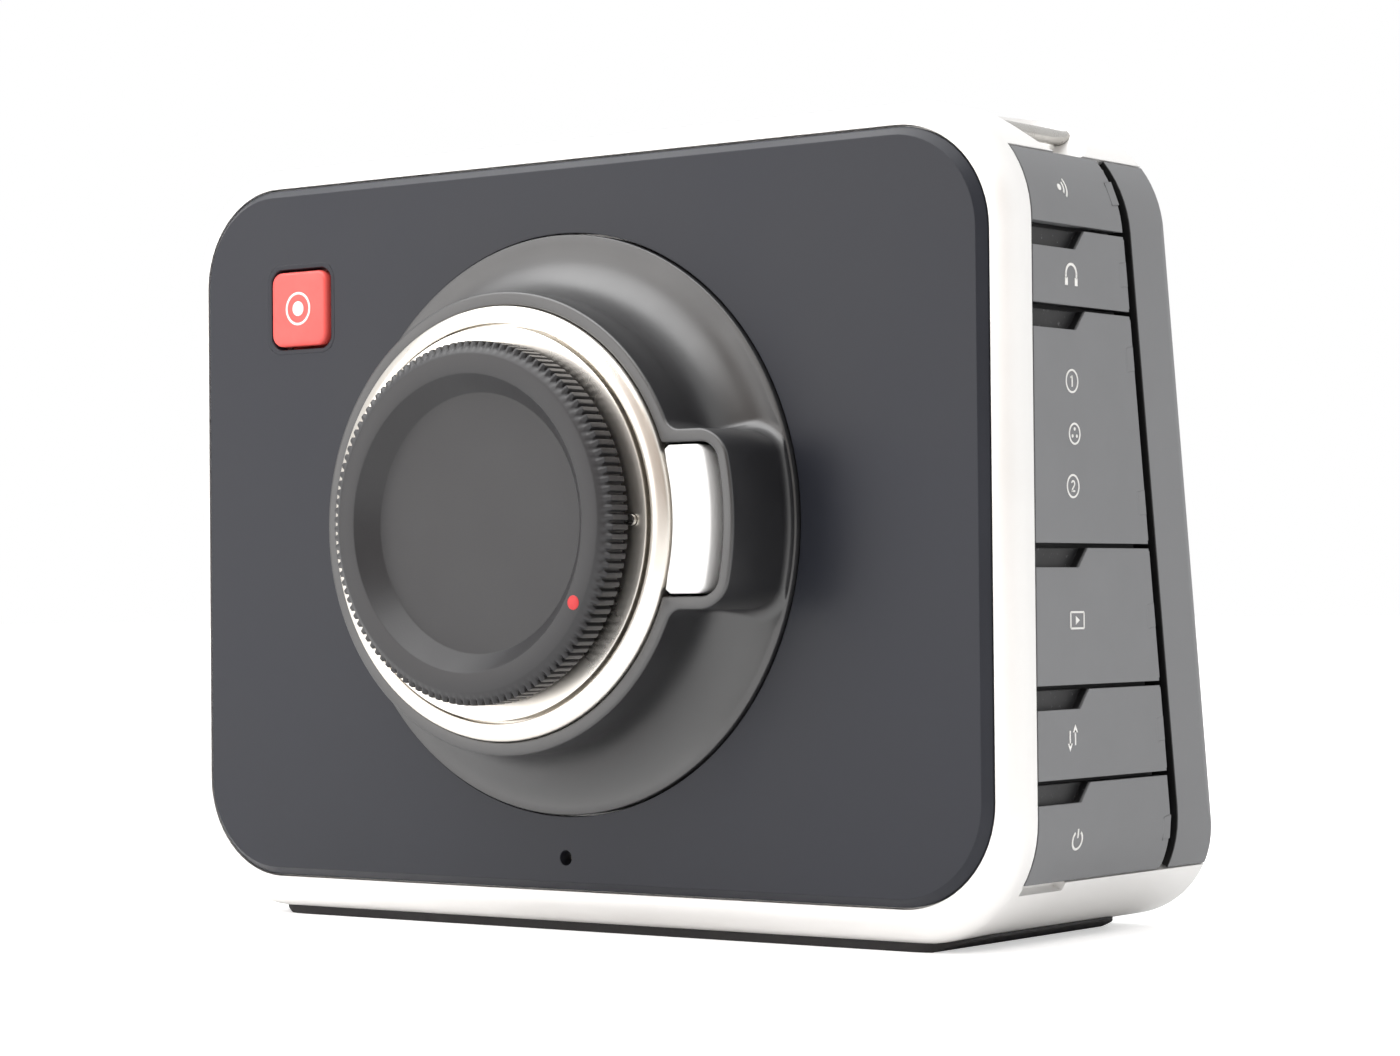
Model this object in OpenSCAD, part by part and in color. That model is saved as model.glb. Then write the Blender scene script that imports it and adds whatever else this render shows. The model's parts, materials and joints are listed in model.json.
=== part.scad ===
// Digital cinema camera body: milled frame, wedge-shaped back, bayonet lens mount with its body cap,
// hinged port covers on one side, a hinged drive door on the other and a tilted rear screen with keys.
// x to the right seen from the front, y to the back, z up; the tripod thread's mouth is at the origin
// and y = 0 is the plane of the image sensor.

/* [Body] */
// Width of the metal frame
body_w = 166.2; // [120:0.1:220]
// Height of the metal frame without the foot pad
body_h = 125.05; // [90:0.05:170]
// How much further the frame reaches below the lens axis than above it
sink = 1.55; // [0:0.05:4]
// Corner radius of the frame seen from the front
body_r = 18.5; // [8:0.1:30]
// Wall of the frame
wall = 3; // [2:0.1:5]
// How far the frame's front edge stands behind the face of the front panel
lip_d = 1.2; // [0.4:0.1:3]
// Rounding of the frame's front edge
front_ease = 4; // [1:0.1:6]
// Depth of the body at half height, front panel to screen
rear_d = 55.3; // [40:0.1:80]
// Lean of the rear face
rear_tilt = 8; // [0:0.5:15]
// Rounding of the rear edges
rear_ease = 4.5; // [1:0.1:6]
// Thickness of the wall behind the front panel
front_wall_t = 2; // [1:0.1:4]
// Running gap between parts that move past each other
gap = 0.35; // [0.3:0.01:0.6]

/* [Front panel] */
// Width of the front panel
panel_w = 158.2; // [110:0.1:210]
// Height of the front panel
panel_h = 115.6; // [80:0.1:160]
// Corner radius of the front panel
panel_r = 16; // [6:0.1:28]
// Thickness of the front panel
panel_t = 2.6; // [1.5:0.1:5]
// Bevel round the front panel
panel_bevel = 1.3; // [0.3:0.1:2]
// Gap between the front panel and the frame
panel_gap = 0.3; // [0.1:0.05:0.6]

/* [Record button and microphone] */
// Side of the square opening for the record button
rec_hole = 13.6; // [8:0.1:20]
// Distance of the record button from the lens axis, sideways
rec_x = 56.4; // [50:0.1:64]
// Distance of the record button from the lens axis, upwards
rec_z = 37.4; // [30:0.1:42]
// Travel of the record button
rec_travel = 0.8; // [0.3:0.1:1.5]
// Radius of the microphone hole
mic_r = 1.2; // [0.5:0.1:2.5]
// Distance of the microphone hole below the lens axis
mic_z = 52.7; // [50:0.1:54]

/* [Lens mount] */
// Distance from the mount's flange to the sensor
flange_focal = 44; // [17:0.1:60]
// How far the flange stands in front of the panel
mount_proud = 17.8; // [14:0.1:24]
// Radius of the flared base
turret_r = 45.9; // [40:0.1:50]
// Height of the base's rim over the panel
turret_rim = 0.8; // [0.3:0.1:3]
// Radius of the collar
collar_r = 35.95; // [34:0.05:40]
// Height of the collar over the panel
collar_h = 15.1; // [10:0.1:20]
// Radius of the concave flare
flare_r = 8.6; // [4:0.1:9]
// Radius of the chrome trim ring
trim_r = 33.75; // [32:0.05:35]
// Radius of the fine line between trim ring and mount ring
line_r = 30.7; // [29:0.05:32]
// Radius inside the bayonet tabs
tab_r = 25; // [22:0.1:26]
// Radius between the bayonet tabs
throat_r = 26.6; // [25:0.1:28]
// Angle that one bayonet tab covers
tab_angle = 58; // [40:1:60]
// Number of bayonet tabs and of cap lugs
tabs = 3; // [2:1:4]
// Height of the guard round the release button
guard_z = 13.5; // [8:0.1:18]
// Outer radius of the guard seen from the front
guard_r = 45.1; // [40:0.1:45.4]
// Half height of the release button
release_z = 11.1; // [6:0.1:15]
// Outer radius of the release button
release_r = 41.3; // [38:0.1:42]
// How far the release button stands over the collar
release_proud = 0.5; // [0:0.1:2]
// Travel of the release button and its lock pin
release_travel = 2.5; // [1:0.1:3]
// Radius of the lock pin
lock_r = 0.9; // [0.5:0.05:1.5]
// Number of mount screws
mount_screw_n = 5; // [3:1:8]

/* [Body cap] */
// Radius of the knurled rim
cap_r = 28; // [26:0.1:30]
// Height of the cap's face over the panel
cap_face = 23.9; // [21:0.1:28]
// Height of the rim's back over the panel
cap_back = 18.8; // [18.2:0.1:20]
// Radius where the dished face starts
dish_r = 22.8; // [15:0.1:25]
// Radius of the flat floor of the dish
dish_floor_r = 20.2; // [10:0.1:22]
// Depth of the dish
dish_d = 3.2; // [1:0.1:4]
// Number of ridges round the rim
knurl_n = 100; // [40:1:140]
// Depth of the ridges
knurl_d = 0.7; // [0.3:0.05:1.2]

/* [Covers] */
// Front edge of the covers behind the panel face
cover_d = 7.2; // [6:0.1:12]
// Rear edge of the covers at half height
groove_d = 40.3; // [34:0.1:46]
// Width of the groove between covers and rear shell
groove_w = 1.2; // [0.8:0.1:2]
// Thickness of the covers
cover_t = 2.3; // [1.8:0.1:3]
// Angle on the corner where the covers end
cover_angle = 37; // [10:1:50]
// Gap between neighbouring covers
seam = 0.7; // [0.4:0.05:1.5]
// Height of the seam between remote and headphone cover, from the lens axis
seam_1 = 42.8; // [40:0.1:46]
// Height of the seam between headphone and audio cover
seam_2 = 30.8; // [28:0.1:34]
// Height of the seam between audio and video cover
seam_3 = -4.5; // [-10:0.1:0]
// Height of the seam between video and data cover
seam_4 = -25.5; // [-29:0.1:-20]
// Height of the seam between data and power cover
seam_5 = -39.4; // [-42:0.1:-36]
// Length of the finger notches
notch_l = 12; // [8:0.1:16]
// Height of the finger notches
notch_h = 2.9; // [1.5:0.1:4]
// Length of the notches' slanted end
notch_run = 3.6; // [1:0.1:6]
// Depth of the finger notches
notch_t = 1.6; // [0.8:0.1:1.9]
// Radius of the hinge pins
pin_r = 0.5; // [0.4:0.05:0.8]
// Length of the hinge pins
pin_l = 8; // [6:0.1:9]
// Width of the fixed hinge knuckles
knuckle_w = 3; // [2:0.1:4]
// Half height of the drive door
door_z = 39.7; // [36:0.1:41]
// Travel of the drive door's latch
latch_travel = 3; // [1:0.1:4]

/* [Rear] */
// Width of the screen glass
screen_w = 126; // [90:0.5:134]
// Height of the screen glass
screen_h = 78; // [50:0.5:82]
// Height of the screen's centre over the lens axis
screen_y = 11; // [8:0.5:14]
// Height of the key row below the lens axis
key_y = 41; // [38:0.5:46]
// Width of a key
key_w = 14; // [10:0.1:16]
// Height of a key
key_h = 8.4; // [6:0.1:10]
// Distance between neighbouring keys
key_pitch = 19; // [17:0.1:24]
// Radius of the power key
power_r = 4.6; // [3:0.1:6]
// Travel of the keys
key_travel = 0.5; // [0.3:0.1:0.8]

/* [Mounting] */
// Thickness of the foot pad under the frame
pad_t = 1.45; // [1:0.05:5]
// Width of the foot pad over its raised ends
pad_w = 141; // [80:0.5:150]
// Width of the foot pad's flat foot
pad_foot = 130; // [60:0.5:140]
// Height of the foot pad's edge at its raised ends
pad_lip = 1.9; // [0.5:0.1:3]
// Corner radius of the foot pad seen from below
pad_r = 9; // [3:0.5:16]
// Front of the foot pad behind the panel face
pad_d = 5.3; // [3:0.1:10]
// Depth of the foot pad
pad_l = 50.6; // [30:0.5:56]
// Radius of the quarter inch tripod threads
thread_r = 3.175; // [2:0.005:5]
// Depth of the tripod threads
thread_l = 9; // [5:0.1:12]
// Distance between the top threads
top_pitch = 50; // [20:0.5:56]

/* [Hidden] */
over = 1;                                  // overrun of every cut
fine = 0.02;                               // ease of a seated fit
fit = 0.1;                                 // ease of a loose seat
front_y = mount_proud - flange_focal;      // face of the front panel
mid_z = pad_t + (body_h + sink) / 2;       // lens axis
far_d = rear_d + body_h;                   // a depth beyond the whole body
corner_x = body_w / 2 - body_r;
corner_z = (body_h - sink) / 2 - body_r;   // centre of the upper corners over the lens axis
low_z = (body_h + sink) / 2 - body_r;      // centre of the lower corners below it
wall_d0 = panel_t + panel_gap;             // front of the wall behind the panel
wall_d1 = wall_d0 + front_wall_t;
run = 0.05;                                // radial ease of a hinge pin
barrel_r = cover_t / 2 - run;
floor_o = cover_t + 3 * gap - fit;         // how deep the port panel lies under the outline
port_t = 2.2;                              // thickness of the port panel
panel_o = floor_o + port_t;
edge_z = corner_z + body_r * sin(cover_angle);
tilt_k = tan(rear_tilt);
white_c = [0.92, 0.92, 0.9];
black_c = [0.14, 0.14, 0.15];
grey_c = [0.3, 0.3, 0.32];
steel_c = [0.75, 0.74, 0.72];
alu_c = [0.86, 0.86, 0.87];
board_c = [0.1, 0.35, 0.2];
gold_c = [0.85, 0.68, 0.3];

// Helpers
function surf_x(z) = z > corner_z ? corner_x + sqrt(body_r * body_r - pow(z - corner_z, 2))
    : z < -low_z ? corner_x + sqrt(body_r * body_r - pow(z + low_z, 2)) : body_w / 2;
// Angle on the lower corner that reaches as far below the lens axis as angle a reaches above it
function low_a(a) = asin(sin(a) - sink / body_r);
function axis_d(z) = groove_d - barrel_r - z * tilt_k;

module at_front(d) translate([0, front_y + d, mid_z]) rotate([90, 0, 0]) children();
module slab(d0, d1) at_front(d1) linear_extrude(d1 - d0) children();
module side(x0, x1) translate([x0, front_y, mid_z]) rotate([90, 0, 90]) linear_extrude(x1 - x0) children();
module at_rear(h) translate([0, front_y + rear_d, mid_z]) rotate([rear_tilt, 0, 0]) rotate([90, 0, 180])
    translate([0, 0, h]) children();
module ease2(e) translate([-e, -e]) difference() { square(e + over); circle(e); }
module rr2(w, h, r) difference() {
    square([w, h], center = true);
    for (sx = [0, 1], sy = [0, 1]) mirror([sx, 0]) mirror([0, sy]) translate([w / 2, h / 2]) ease2(r);
}
module edge2(r, t, e, soft) {
    if (soft) difference() { square([r, t]); translate([r, t]) ease2(e); }
    else polygon([[0, 0], [r, 0], [r, t - e], [r - e, t], [0, t]]);
}
// Rounded plate on z = 0 whose far edge is eased by e
module block(w, h, r, t, e, soft = true) {
    translate([r - w / 2, r - h / 2, 0]) cube([w - 2 * r, h - 2 * r, t]);
    for (sx = [0, 1], sy = [0, 1]) mirror([sx, 0, 0]) mirror([0, sy, 0])
        translate([w / 2 - r, h / 2 - r, 0]) rotate_extrude(angle = 90) edge2(r, t, e, soft);
    for (sx = [0, 1]) mirror([sx, 0, 0]) translate([w / 2 - r, 0, 0]) rotate([90, 0, 0])
        linear_extrude(h - 2 * r, center = true) edge2(r, t, e, soft);
    for (sy = [0, 1]) mirror([0, sy, 0]) translate([0, h / 2 - r, 0]) rotate([90, 0, 90])
        linear_extrude(w - 2 * r, center = true) edge2(r, t, e, soft);
}
module ring2(r0, r1) difference() { circle(r1); circle(r0); }
module wedge2(a) polygon([[corner_x, corner_z], [corner_x + 2 * body_r * cos(a), corner_z + 2 * body_r * sin(a)],
    [corner_x + 2 * body_r * cos(low_a(a)), -low_z - 2 * body_r * sin(low_a(a))], [corner_x, -low_z]]);
// The frame's outline, moved in by o
module frame2(o) translate([0, -sink / 2]) rr2(body_w - 2 * o, body_h - 2 * o, body_r - o);
module band2(o0, o1) difference() { frame2(o0); frame2(o1); }
module sector2(a0, a1, r) polygon([[0, 0], [r * cos(a0), r * sin(a0)], [r * cos((a0 + a1) / 2) / cos((a1 - a0) / 2),
    r * sin((a0 + a1) / 2) / cos((a1 - a0) / 2)], [r * cos(a1), r * sin(a1)]]);
// What lies behind the rear plane moved out by h
module behind(h) at_rear(h) translate([-body_w, -body_h, 0]) cube([2 * body_w, 2 * body_h, body_h]);
// Outer form of the body from depth d on
module body_form(d) intersection() {
    if (d > lip_d) slab(d, far_d) frame2(0);
    else at_front(far_d) translate([0, -sink / 2, 0]) block(body_w, body_h, body_r, far_d - lip_d, front_ease);
    union() {
        at_rear(-rear_ease - over) translate([0, -sink / 2, 0]) block(body_w, (body_h + 2 * rear_ease * tilt_k) / cos(rear_tilt), body_r - over, rear_ease + over, rear_ease);
        at_rear(-far_d - rear_ease - over) translate([-body_w, -body_h, 0]) cube([2 * body_w, 2 * body_h, far_d]);
    }
}
// Side view strip between two heights, from depth d0 to the line parallel to the groove at offset o
module strip2(d0, o, z0, z1) polygon([[d0, z0], [groove_d + o - z0 * tilt_k, z0], [groove_d + o - z1 * tilt_k, z1], [d0, z1]]);

// Frame and front
scoop_a = 62; scoop_r = 11.5; scoop_o = 6; scoop_d = 24; scoop_wall = 2.4; strap_r = 1.2; strap_in = 1.4; strap_l = 22;
insert_r = 6; insert_l = thread_l + 3; boss_wall = 2.5; top_insert_r = 5;
post_x = 33; post_z = 28; post_r = 2.6; board_d = 28.4;
bore_r = 28.4; turret_hole = 39.6;
switch_d = wall_d1 + 3.2; switch_post = 2;
module scoops(r) for (s = [0, 1]) mirror([s, 0, 0]) at_front(scoop_d)
    translate([corner_x + (body_r + scoop_o) * cos(scoop_a), corner_z + (body_r + scoop_o) * sin(scoop_a), 0]) sphere(r);
module strap_bar(r, l) for (s = [0, 1]) mirror([s, 0, 0]) at_front(scoop_d + l / 2)
    translate([corner_x + (body_r - strap_in) * cos(scoop_a), corner_z + (body_r - strap_in) * sin(scoop_a), 0]) cylinder(r = r, h = l);
module rec_at(d) at_front(d) translate([-rec_x, rec_z, 0]) children();

module chassis_frame() color(alu_c) difference() {
    union() {
        difference() {
            body_form(0);
            slab(wall_d1, 2 * far_d) frame2(wall);
        }
        intersection() { scoops(scoop_r + scoop_wall); slab(wall_d1, far_d) frame2(fit); }
        translate([0, 0, pad_t + wall - over]) cylinder(r = insert_r + boss_wall, h = insert_l - pad_t - wall + over);
        for (i = [-1, 0, 1]) translate([i * top_pitch, 0, pad_t + body_h - insert_l])
            cylinder(r = top_insert_r + boss_wall, h = insert_l - wall + over);
        for (sx = [-1, 1], sz = [-1, 1]) at_front(board_d) translate([sx * post_x, sz * post_z, 0])
            cylinder(r = post_r, h = board_d - wall_d0 - over);
        for (s = [-1, 1]) rec_at(switch_d) translate([s * (rec_hole / 2 + 3 * switch_post / 2), 0, 0])
            cylinder(r = switch_post, h = switch_d - wall_d0 - over);
    }
    slab(-over, wall_d0) rr2(panel_w + 2 * panel_gap, panel_h + 2 * panel_gap, panel_r + panel_gap);
    slab(0, wall_d1 + over) circle(turret_hole);
    rec_at(wall_d1 + over) translate([-rec_hole / 2, -rec_hole / 2, 0]) cube([rec_hole, rec_hole, wall_d1 + over]);
    at_front(wall_d1 + over) translate([0, -mic_z, 0]) cylinder(r = 3 + fit, h = wall_d1 + over);
    for (s = [0, 1]) mirror([s, 0, 0]) slab(cover_d - gap, far_d * 2) wedge2(cover_angle + 1);
    scoops(scoop_r);
    strap_bar(strap_r + fine, strap_l);
    translate([0, 0, -over]) cylinder(r = insert_r + fine, h = insert_l + 2 * over);
    for (i = [-1, 0, 1]) translate([i * top_pitch, 0, pad_t + body_h - insert_l - over])
        cylinder(r = top_insert_r + fine, h = insert_l + 2 * over);
    finger_scoop();
}
module finger_scoop() at_front(cover_d + notch_l) translate([corner_x + body_r * cos(low_a(cover_angle + 6)),
    -low_z - body_r * sin(low_a(cover_angle + 6)), 0]) rotate([0, 0, -low_a(cover_angle)]) translate([-notch_t, 0, 0])
    cube([2 * notch_t + notch_h, 2 * notch_h, notch_l]);
module front_panel() color(grey_c) difference() {
    at_front(panel_t) block(panel_w, panel_h, panel_r, panel_t, panel_bevel, false);
    slab(-over, panel_t + over) circle(turret_r + panel_gap);
    rec_at(panel_t + over) translate([-rec_hole / 2, -rec_hole / 2, 0]) cube([rec_hole, rec_hole, panel_t + 2 * over]);
    at_front(panel_t + over) translate([0, -mic_z, 0]) cylinder(r = mic_r, h = panel_t + 2 * over);
}
module foot_pad() color(black_c) difference() {
    intersection() {
        translate([0, front_y + pad_d + pad_l / 2, 0]) linear_extrude(body_r) rr2(pad_w, pad_l, pad_r);
        translate([0, front_y + pad_d + pad_l, 0]) rotate([90, 0, 0]) linear_extrude(pad_l)
            polygon([[-pad_foot / 2, 0], [pad_foot / 2, 0], [pad_w / 2, pad_lip], [pad_w / 2, body_r], [-pad_w / 2, body_r], [-pad_w / 2, pad_lip]]);
    }
    slab(0, far_d) frame2(-fine);
    translate([0, 0, -over]) cylinder(r = insert_r + fit, h = pad_t + 2 * over);
}
module insert(r) difference() {
    cylinder(r = r, h = insert_l);
    translate([0, 0, -over]) cylinder(r = thread_r, h = thread_l + over);
}
module tripod_insert() color(steel_c) insert(insert_r);
module top_inserts() color(steel_c) for (i = [-1, 0, 1]) translate([i * top_pitch, 0, pad_t + body_h]) mirror([0, 0, 1]) insert(top_insert_r);
module strap_pins() color(steel_c) strap_bar(strap_r, strap_l - 2 * fit);

// Lens mount, measured forward from the panel face
seat_h = collar_h - 1; flange_t = 1.1; ring_top = mount_proud; cavity_r = 27.3; tab_t = 1.8;
trim_top = 17.4; trim_ease = 1.6; pocket_r = 43.2; pocket_z = release_z + gap + 0.05; pocket_floor = 1.4;
screw_r = 1; head_r = 1.9; screw_ring_r = 32; screw_l = 6; lever_t = 1.6; button_foot = 6; lock_at_r = 27.9; lock_a = 0;
spring_r = 2.2; spring_wire = 0.35; spring_deep = 2; spring_x = 38.6; guard_round = 4.2; foot_h = 3.4; foot_o = 1.1;
module guard2(o) intersection() {
    circle(guard_r + o / 2);
    translate([0, -guard_z - o]) square([guard_r + over, 2 * guard_z + 2 * o]);
    difference() {
        translate([0, -guard_z - o]) square([guard_r + over, 2 * (guard_z + o)]);
        for (s = [0, 1]) mirror([0, s]) translate([guard_r - over / 2 + o / 2, guard_z + o]) ease2(guard_round);
    }
}
module mount_turret() color(black_c) difference() {
    union() {
        at_front(0) rotate_extrude() difference() {
            translate([0, -wall_d0]) square([turret_r, wall_d0 + collar_h]);
            translate([collar_r + flare_r, turret_rim + flare_r]) circle(flare_r);
            translate([collar_r, turret_rim + flare_r]) square([turret_r, collar_h]);
            translate([collar_r + flare_r, turret_rim]) square([turret_r, collar_h]);
        }
        at_front(0) linear_extrude(collar_h) guard2(0);
        at_front(0) linear_extrude(foot_h) guard2(foot_o);
    }
    at_front(wall_d0 + over) cylinder(r = bore_r, h = far_d);
    at_front(-seat_h) cylinder(r = trim_r + fit, h = far_d);
    at_front(-pocket_floor) linear_extrude(far_d) pocket2();
    lever_cut();
    at_front(spring_deep) translate([spring_x, 0, 0]) cylinder(r = spring_r + gap, h = spring_deep + pocket_floor + over);
    screws_at(-seat_h + screw_l + over) cylinder(r = screw_r + fine, h = screw_l + 2 * over);
}
module pocket2() intersection() {
    ring2(collar_r - 3 * over, pocket_r);
    translate([0, -pocket_z]) square([turret_r, 2 * pocket_z]);
}
module lever_cut() at_front(-pocket_floor) translate([lock_at_r - 2 * over - gap, -3 - gap, 0])
    cube([collar_r - lock_at_r + 3 * over, 6 + 2 * gap, seat_h + over]);
module screws_at(d) for (i = [0 : mount_screw_n - 1]) at_front(d)
    rotate([0, 0, (i + 1 / 2) * 360 / mount_screw_n]) translate([screw_ring_r, 0, 0]) children();
module tab_ring2(r0, r1) intersection() {
    ring2(r0, r1);
    for (i = [0 : tabs - 1]) rotate([0, 0, i * 360 / tabs]) sector2(-tab_angle / 2, tab_angle / 2, r1);
}
module lens_mount_ring() color(steel_c) difference() {
    union() {
        at_front(-seat_h) rotate_extrude() polygon([[cavity_r, 0], [trim_r - fit, 0], [trim_r - fit, flange_t],
            [line_r - 2 * fit, flange_t], [line_r - 2 * fit, ring_top - seat_h], [throat_r, ring_top - seat_h],
            [throat_r, ring_top - seat_h - tab_t], [cavity_r, ring_top - seat_h - tab_t]]);
        at_front(-ring_top + tab_t) linear_extrude(tab_t) tab_ring2(tab_r, throat_r + over);
    }
    at_front(0) rotate([0, 0, lock_a]) translate([lock_at_r, 0, 0]) cylinder(r = lock_r + fit, h = far_d);
    screws_at(0) translate([0, 0, seat_h - over]) { cylinder(r = screw_r + fit, h = 2 * over + flange_t);
        translate([0, 0, over + flange_t / 2]) cylinder(r = head_r + fit, h = over); }
}
module trim_ring() color(steel_c) at_front(-seat_h - flange_t - fit) rotate_extrude() difference() {
    translate([line_r, 0]) square([trim_r - line_r, trim_top - seat_h - flange_t - fit]);
    translate([trim_r, trim_top - seat_h - flange_t - fit]) ease2(trim_ease);
}
module mount_screws() color(steel_c) screws_at(-seat_h + screw_l) {
    cylinder(r = screw_r, h = screw_l + flange_t / 2);
    translate([0, 0, screw_l + flange_t / 2]) difference() {
        cylinder(r = head_r, h = flange_t / 2);
        translate([0, 0, fit]) cylinder(r = screw_r * 0.8, h = flange_t, $fn = 6);
    }
}
contact_r = 24.4; contact_w = 17; contact_t = 2.4; contact_n = 8;
module contact_block() color(gold_c) difference() {
    at_front(-seat_h + 4 * contact_t) intersection() {
        linear_extrude(contact_t) intersection() { ring2(contact_r, bore_r - fit);
            translate([-contact_w / 2, -bore_r]) square([contact_w, bore_r]); }
    }
    for (i = [0 : contact_n - 1]) at_front(-seat_h + 3.2 * contact_t)
        translate([(i - (contact_n - 1) / 2) * contact_w / (contact_n + 1), -(contact_r + bore_r) / 2, 0]) cylinder(r = contact_t / 4, h = contact_t);
}

// Body cap
shoulder_h = ring_top + gap; shoulder_r = lock_at_r - lock_r - gap; lug_r = 26.3; lug_t = 1.4; lug_angle = 50; cap_chamfer = 1.1; cap_wall = 1.8;
module knurl2() polygon([for (i = [0 : 2 * knurl_n - 1]) let (r = cap_r - (i % 2) * knurl_d, a = i * 180 / knurl_n) [r * cos(a), r * sin(a)]]);
module body_cap() color(black_c) difference() {
    union() {
        intersection() {
            at_front(-cap_back) linear_extrude(cap_face - cap_back) knurl2();
            at_front(-cap_back) rotate_extrude() polygon([[0, 0], [cap_r + over, 0], [cap_r + over, cap_face - cap_back - cap_chamfer - over],
                [cap_r - cap_chamfer, cap_face - cap_back], [0, cap_face - cap_back]]);
        }
        at_front(-shoulder_h) cylinder(r = shoulder_r, h = cap_back - shoulder_h + over);
        at_front(-ring_top + tab_t + gap + lug_t) cylinder(r = tab_r - gap, h = shoulder_h - ring_top + tab_t + gap + lug_t + over);
        at_front(-ring_top + tab_t + gap + lug_t) linear_extrude(lug_t) intersection() {
            circle(lug_r);
            for (i = [0 : tabs - 1]) rotate([0, 0, i * 360 / tabs]) sector2(-lug_angle / 2, lug_angle / 2, lug_r);
        }
    }
    at_front(-cap_face + dish_d) rotate_extrude() polygon([[0, 0], [dish_floor_r, 0], [dish_r, dish_d], [dish_r, dish_d + over], [0, dish_d + over]]);
    at_front(0) cylinder(r = tab_r - gap - cap_wall, h = cap_face - dish_d - cap_wall);
}

// Release button, its lever with the lock pin, and the spring behind it
module release_button() color(white_c) union() {
    at_front(-button_foot) intersection() {
        linear_extrude(collar_h + release_proud - button_foot) intersection() {
            ring2(trim_r + gap, release_r);
            translate([0, -release_z]) square([turret_r, 2 * release_z]);
        }
    }
    at_front(-button_foot + lever_t) translate([lock_at_r - 2 * lock_r, -3, 0]) cube([release_r - over - lock_at_r + 2 * lock_r, 6, lever_t]);
}
module lock_pin() color(steel_c) at_front(-button_foot - fine) rotate([0, 0, lock_a]) translate([lock_at_r, 0, 0])
    cylinder(r = lock_r, h = ring_top + 0.6 - button_foot);
module release_spring() color(steel_c) at_front(spring_deep - fine) translate([spring_x, 0, 0]) difference() {
    cylinder(r = spring_r, h = spring_deep + button_foot - lever_t - 2 * fine);
    translate([0, 0, -over]) cylinder(r = spring_r - 2 * spring_wire, h = far_d);
}

// Record button, switch and microphone
rec_w = rec_hole - 2 * gap; rec_face = 0.3; rec_flange = 1;
module rec_button() color([0.75, 0.12, 0.12]) {
    rec_at(wall_d1 + gap + rec_flange) block(rec_w, rec_w, 2.2, wall_d1 + gap + rec_flange - rec_face, 0.6);
    rec_at(wall_d1 + gap + rec_flange) linear_extrude(rec_flange) rr2(rec_w + 2, rec_w + 2, 2.2);
}
module rec_switch() color(board_c) {
    rec_at(switch_d + 1.2) linear_extrude(1.2) rr2(rec_hole + 8, rec_hole, 1.5);
    rec_at(switch_d) cylinder(r = 2.4, h = switch_d - wall_d1 - gap - rec_flange - rec_travel - 0.2);
}
module microphone() color(steel_c) at_front(wall_d1 + 1) translate([0, -mic_z, 0]) difference() {
    cylinder(r = 3, h = wall_d1 + 1 - panel_t - fine);
    translate([0, 0, wall_d1 - panel_t]) cylinder(r = mic_r * 0.8, h = 2 * over);
}

// Sensor stack
sensor_d = flange_focal - mount_proud; sensor_w = 34; sensor_hh = 28; frame_o = 5; filter_d = sensor_d - 3.4; filter_t = 1.4; board_t = 1.6;
module sensor() color([0.16, 0.12, 0.22]) slab(sensor_d, board_d) rr2(sensor_w, sensor_hh, 1);
module sensor_filter() color([0.4, 0.55, 0.6]) slab(filter_d, filter_d + filter_t) rr2(sensor_w, sensor_hh, 1);
module sensor_holder() color(black_c) difference() {
    slab(filter_d - 0.8, board_d) rr2(sensor_w + 2 * frame_o, sensor_hh + 2 * frame_o, 3);
    slab(filter_d - 2 * over, filter_d) rr2(sensor_w - 4, sensor_hh - 4, 1);
    slab(filter_d, filter_d + filter_t + fit) rr2(sensor_w + 2 * fit, sensor_hh + 2 * fit, 1);
    slab(filter_d + filter_t, sensor_d - fit) rr2(sensor_w - 3, sensor_hh - 3, 1);
    slab(sensor_d - 2 * fit, board_d + over) rr2(sensor_w + 2 * fit, sensor_hh + 2 * fit, 1);
}
spread_t = 2.2; spread_share = 0.78; board_rim = 4; board_hole = 1.1;
module sensor_board() color(board_c) slab(board_d, board_d + board_t) difference() {
    rr2(2 * post_x + 2 * board_rim, 2 * post_z + 2 * board_rim, board_rim - over);
    for (sx = [-1, 1], sz = [-1, 1]) translate([sx * post_x, sz * post_z]) circle(board_hole);
}
module heat_spreader() color(alu_c) slab(board_d + board_t + fine, board_d + board_t + spread_t) rr2(spread_share * 2 * post_x, spread_share * 2 * post_z, post_r);

// Port side
lean_in = 0.6;                              // how much deeper a leaning hinge lies
hinge_list = [[(seam_1 + edge_z) / 2, -17, [0]], [(seam_2 + seam_1) / 2, 0, [0]], [(seam_3 + seam_2) / 2, 0, [-11, 11]],
    [(seam_4 + seam_3) / 2, 0, [0]], [(seam_5 + seam_4) / 2, 0, [0]], [(seam_5 - edge_z) / 2 - lean_in, 9, [0]]];
function hinge_x(h) = surf_x(h[0]) - cover_t / 2 - (h[1] == 0 ? 0 : lean_in);
module at_hinge(h) translate([hinge_x(h), front_y + axis_d(h[0]), mid_z + h[0]]) rotate([rear_tilt, h[1], 0]) children();
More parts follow.
